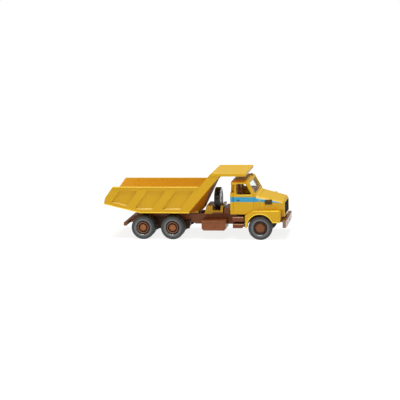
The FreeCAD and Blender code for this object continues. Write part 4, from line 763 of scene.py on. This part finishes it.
def makeFloor():
    half = stageLook["floorSize"] / 2
    data = bpy.data.meshes.new("floor")
    corners = [(-half, -half, 0), (half, -half, 0), (half, half, 0), (-half, half, 0)]
    data.from_pydata(corners, [], [(0, 1, 2, 3)])
    floor = bpy.data.objects.new("floor", data)
    bpy.context.scene.collection.objects.link(floor)
    material = bpy.data.materials.new("white_card")
    material.use_nodes = True
    tree = material.node_tree
    tree.nodes.remove(tree.nodes["Principled BSDF"])
    card = addNode(tree, "BsdfDiffuse", {"Color": linear(stageLook["floorColour"])})
    glow = addNode(tree, "Emission", {"Color": (1, 1, 1, 1), "Strength": stageLook["glow"]})
    ray = addNode(tree, "LightPath").outputs
    seen = calc(tree, "MAXIMUM", calc(tree, "MAXIMUM", ray["Is Camera Ray"], ray["Is Glossy Ray"]),
                ray["Is Transmission Ray"])
    # the card takes shadows near the model and is plain white further off
    middle = addNode(tree, "VectorMath", {0: addNode(tree, "TexCoord").outputs["Object"]}, operation="LENGTH")
    lit = addNode(tree, "MapRange", {"Value": middle.outputs["Value"],
                                     "From Min": stageLook["near"], "From Max": stageLook["far"],
                                     "To Min": stageLook["selfLight"], "To Max": 1.0})
    share = calc(tree, "MULTIPLY", seen, lit.outputs["Result"])
    mixed = addNode(tree, "MixShader", {0: share, 1: card.outputs[0], 2: glow.outputs[0]})
    tree.links.new(mixed.outputs[0], tree.nodes["Material Output"].inputs["Surface"])
    data.materials.append(material)


def makeWorld():
    # white where it is seen, dimmer where it lights the model or shows in its shine
    world = bpy.data.worlds.new("studio")
    bpy.context.scene.world = world
    world.use_nodes = True
    tree = world.node_tree
    ray = addNode(tree, "LightPath").outputs
    seen = calc(tree, "MAXIMUM", ray["Is Camera Ray"], ray["Is Transmission Ray"])
    shown = calc(tree, "MAXIMUM", seen, calc(tree, "MULTIPLY", ray["Is Glossy Ray"], stageLook["mirrored"]))
    back = tree.nodes["Background"]
    hue = mixColours(tree, seen, linear(stageLook["skyColour"]), linear("#FFFFFF"))
    tree.links.new(hue, back.inputs["Color"])
    tree.links.new(calc(tree, "MAXIMUM", shown, stageLook["sky"]), back.inputs["Strength"])


# softboxes: place in metres, width and height in metres, watts, colour; all aim at lampAim
softboxes = {
    "over": ((0.0, -0.12, 0.78), (0.5, 0.3), 9.8, "#DEF6F4"),
    "near_side": ((0.1, -0.8, 0.5), (0.5, 0.4), 1.9, "#FFF0DA"),
}
lampAim = (0, 0, 0.015)


def makeLamps():
    for name, (place, size, watts, hue) in softboxes.items():
        lamp = bpy.data.lights.new(name, "AREA")
        lamp.shape = "RECTANGLE"
        lamp.size, lamp.size_y = size
        lamp.energy = watts
        lamp.color = linear(hue)[:3]
        obj = bpy.data.objects.new(name, lamp)
        bpy.context.scene.collection.objects.link(obj)
        obj.location = place
        obj.rotation_euler = (Vector(lampAim) - Vector(place)).to_track_quat("-Z", "Y").to_euler()


# the viewpoint: angles in degrees; distance, aim and near clip in metres; lens and sensor in mm
viewLook = {
    "bearing": 11.04, "height": 10.65, "roll": -1.88, "distance": 0.6434, "aim": (0.00066, 0.0, 0.01841),
    "clipStart": 0.02, "lens": 109.6, "sensor": 36,
}


def makeCamera():
    a, e, r = [math.radians(viewLook[key]) for key in ("bearing", "height", "roll")]
    back = Vector((math.sin(a) * math.cos(e), -math.cos(a) * math.cos(e), math.sin(e)))
    right = (-back).cross(Vector((0, 0, 1))).normalized()
    up = right.cross(-back)
    rolledRight = math.cos(r) * right + math.sin(r) * up
    rolledUp = math.cos(r) * up - math.sin(r) * right
    data = bpy.data.cameras.new("camera")
    data.lens = viewLook["lens"]
    data.sensor_width = viewLook["sensor"]
    data.clip_start = viewLook["clipStart"]
    camera = bpy.data.objects.new("camera", data)
    bpy.context.scene.collection.objects.link(camera)
    turn = Matrix((rolledRight, rolledUp, back)).transposed().to_4x4()
    camera.matrix_world = Matrix.Translation(Vector(viewLook["aim"]) + back * viewLook["distance"]) @ turn
    bpy.context.scene.camera = camera


makeFloor()
makeWorld()
makeLamps()
makeCamera()
bpy.context.scene.view_settings.view_transform = "Standard"
print("stage and camera ready")
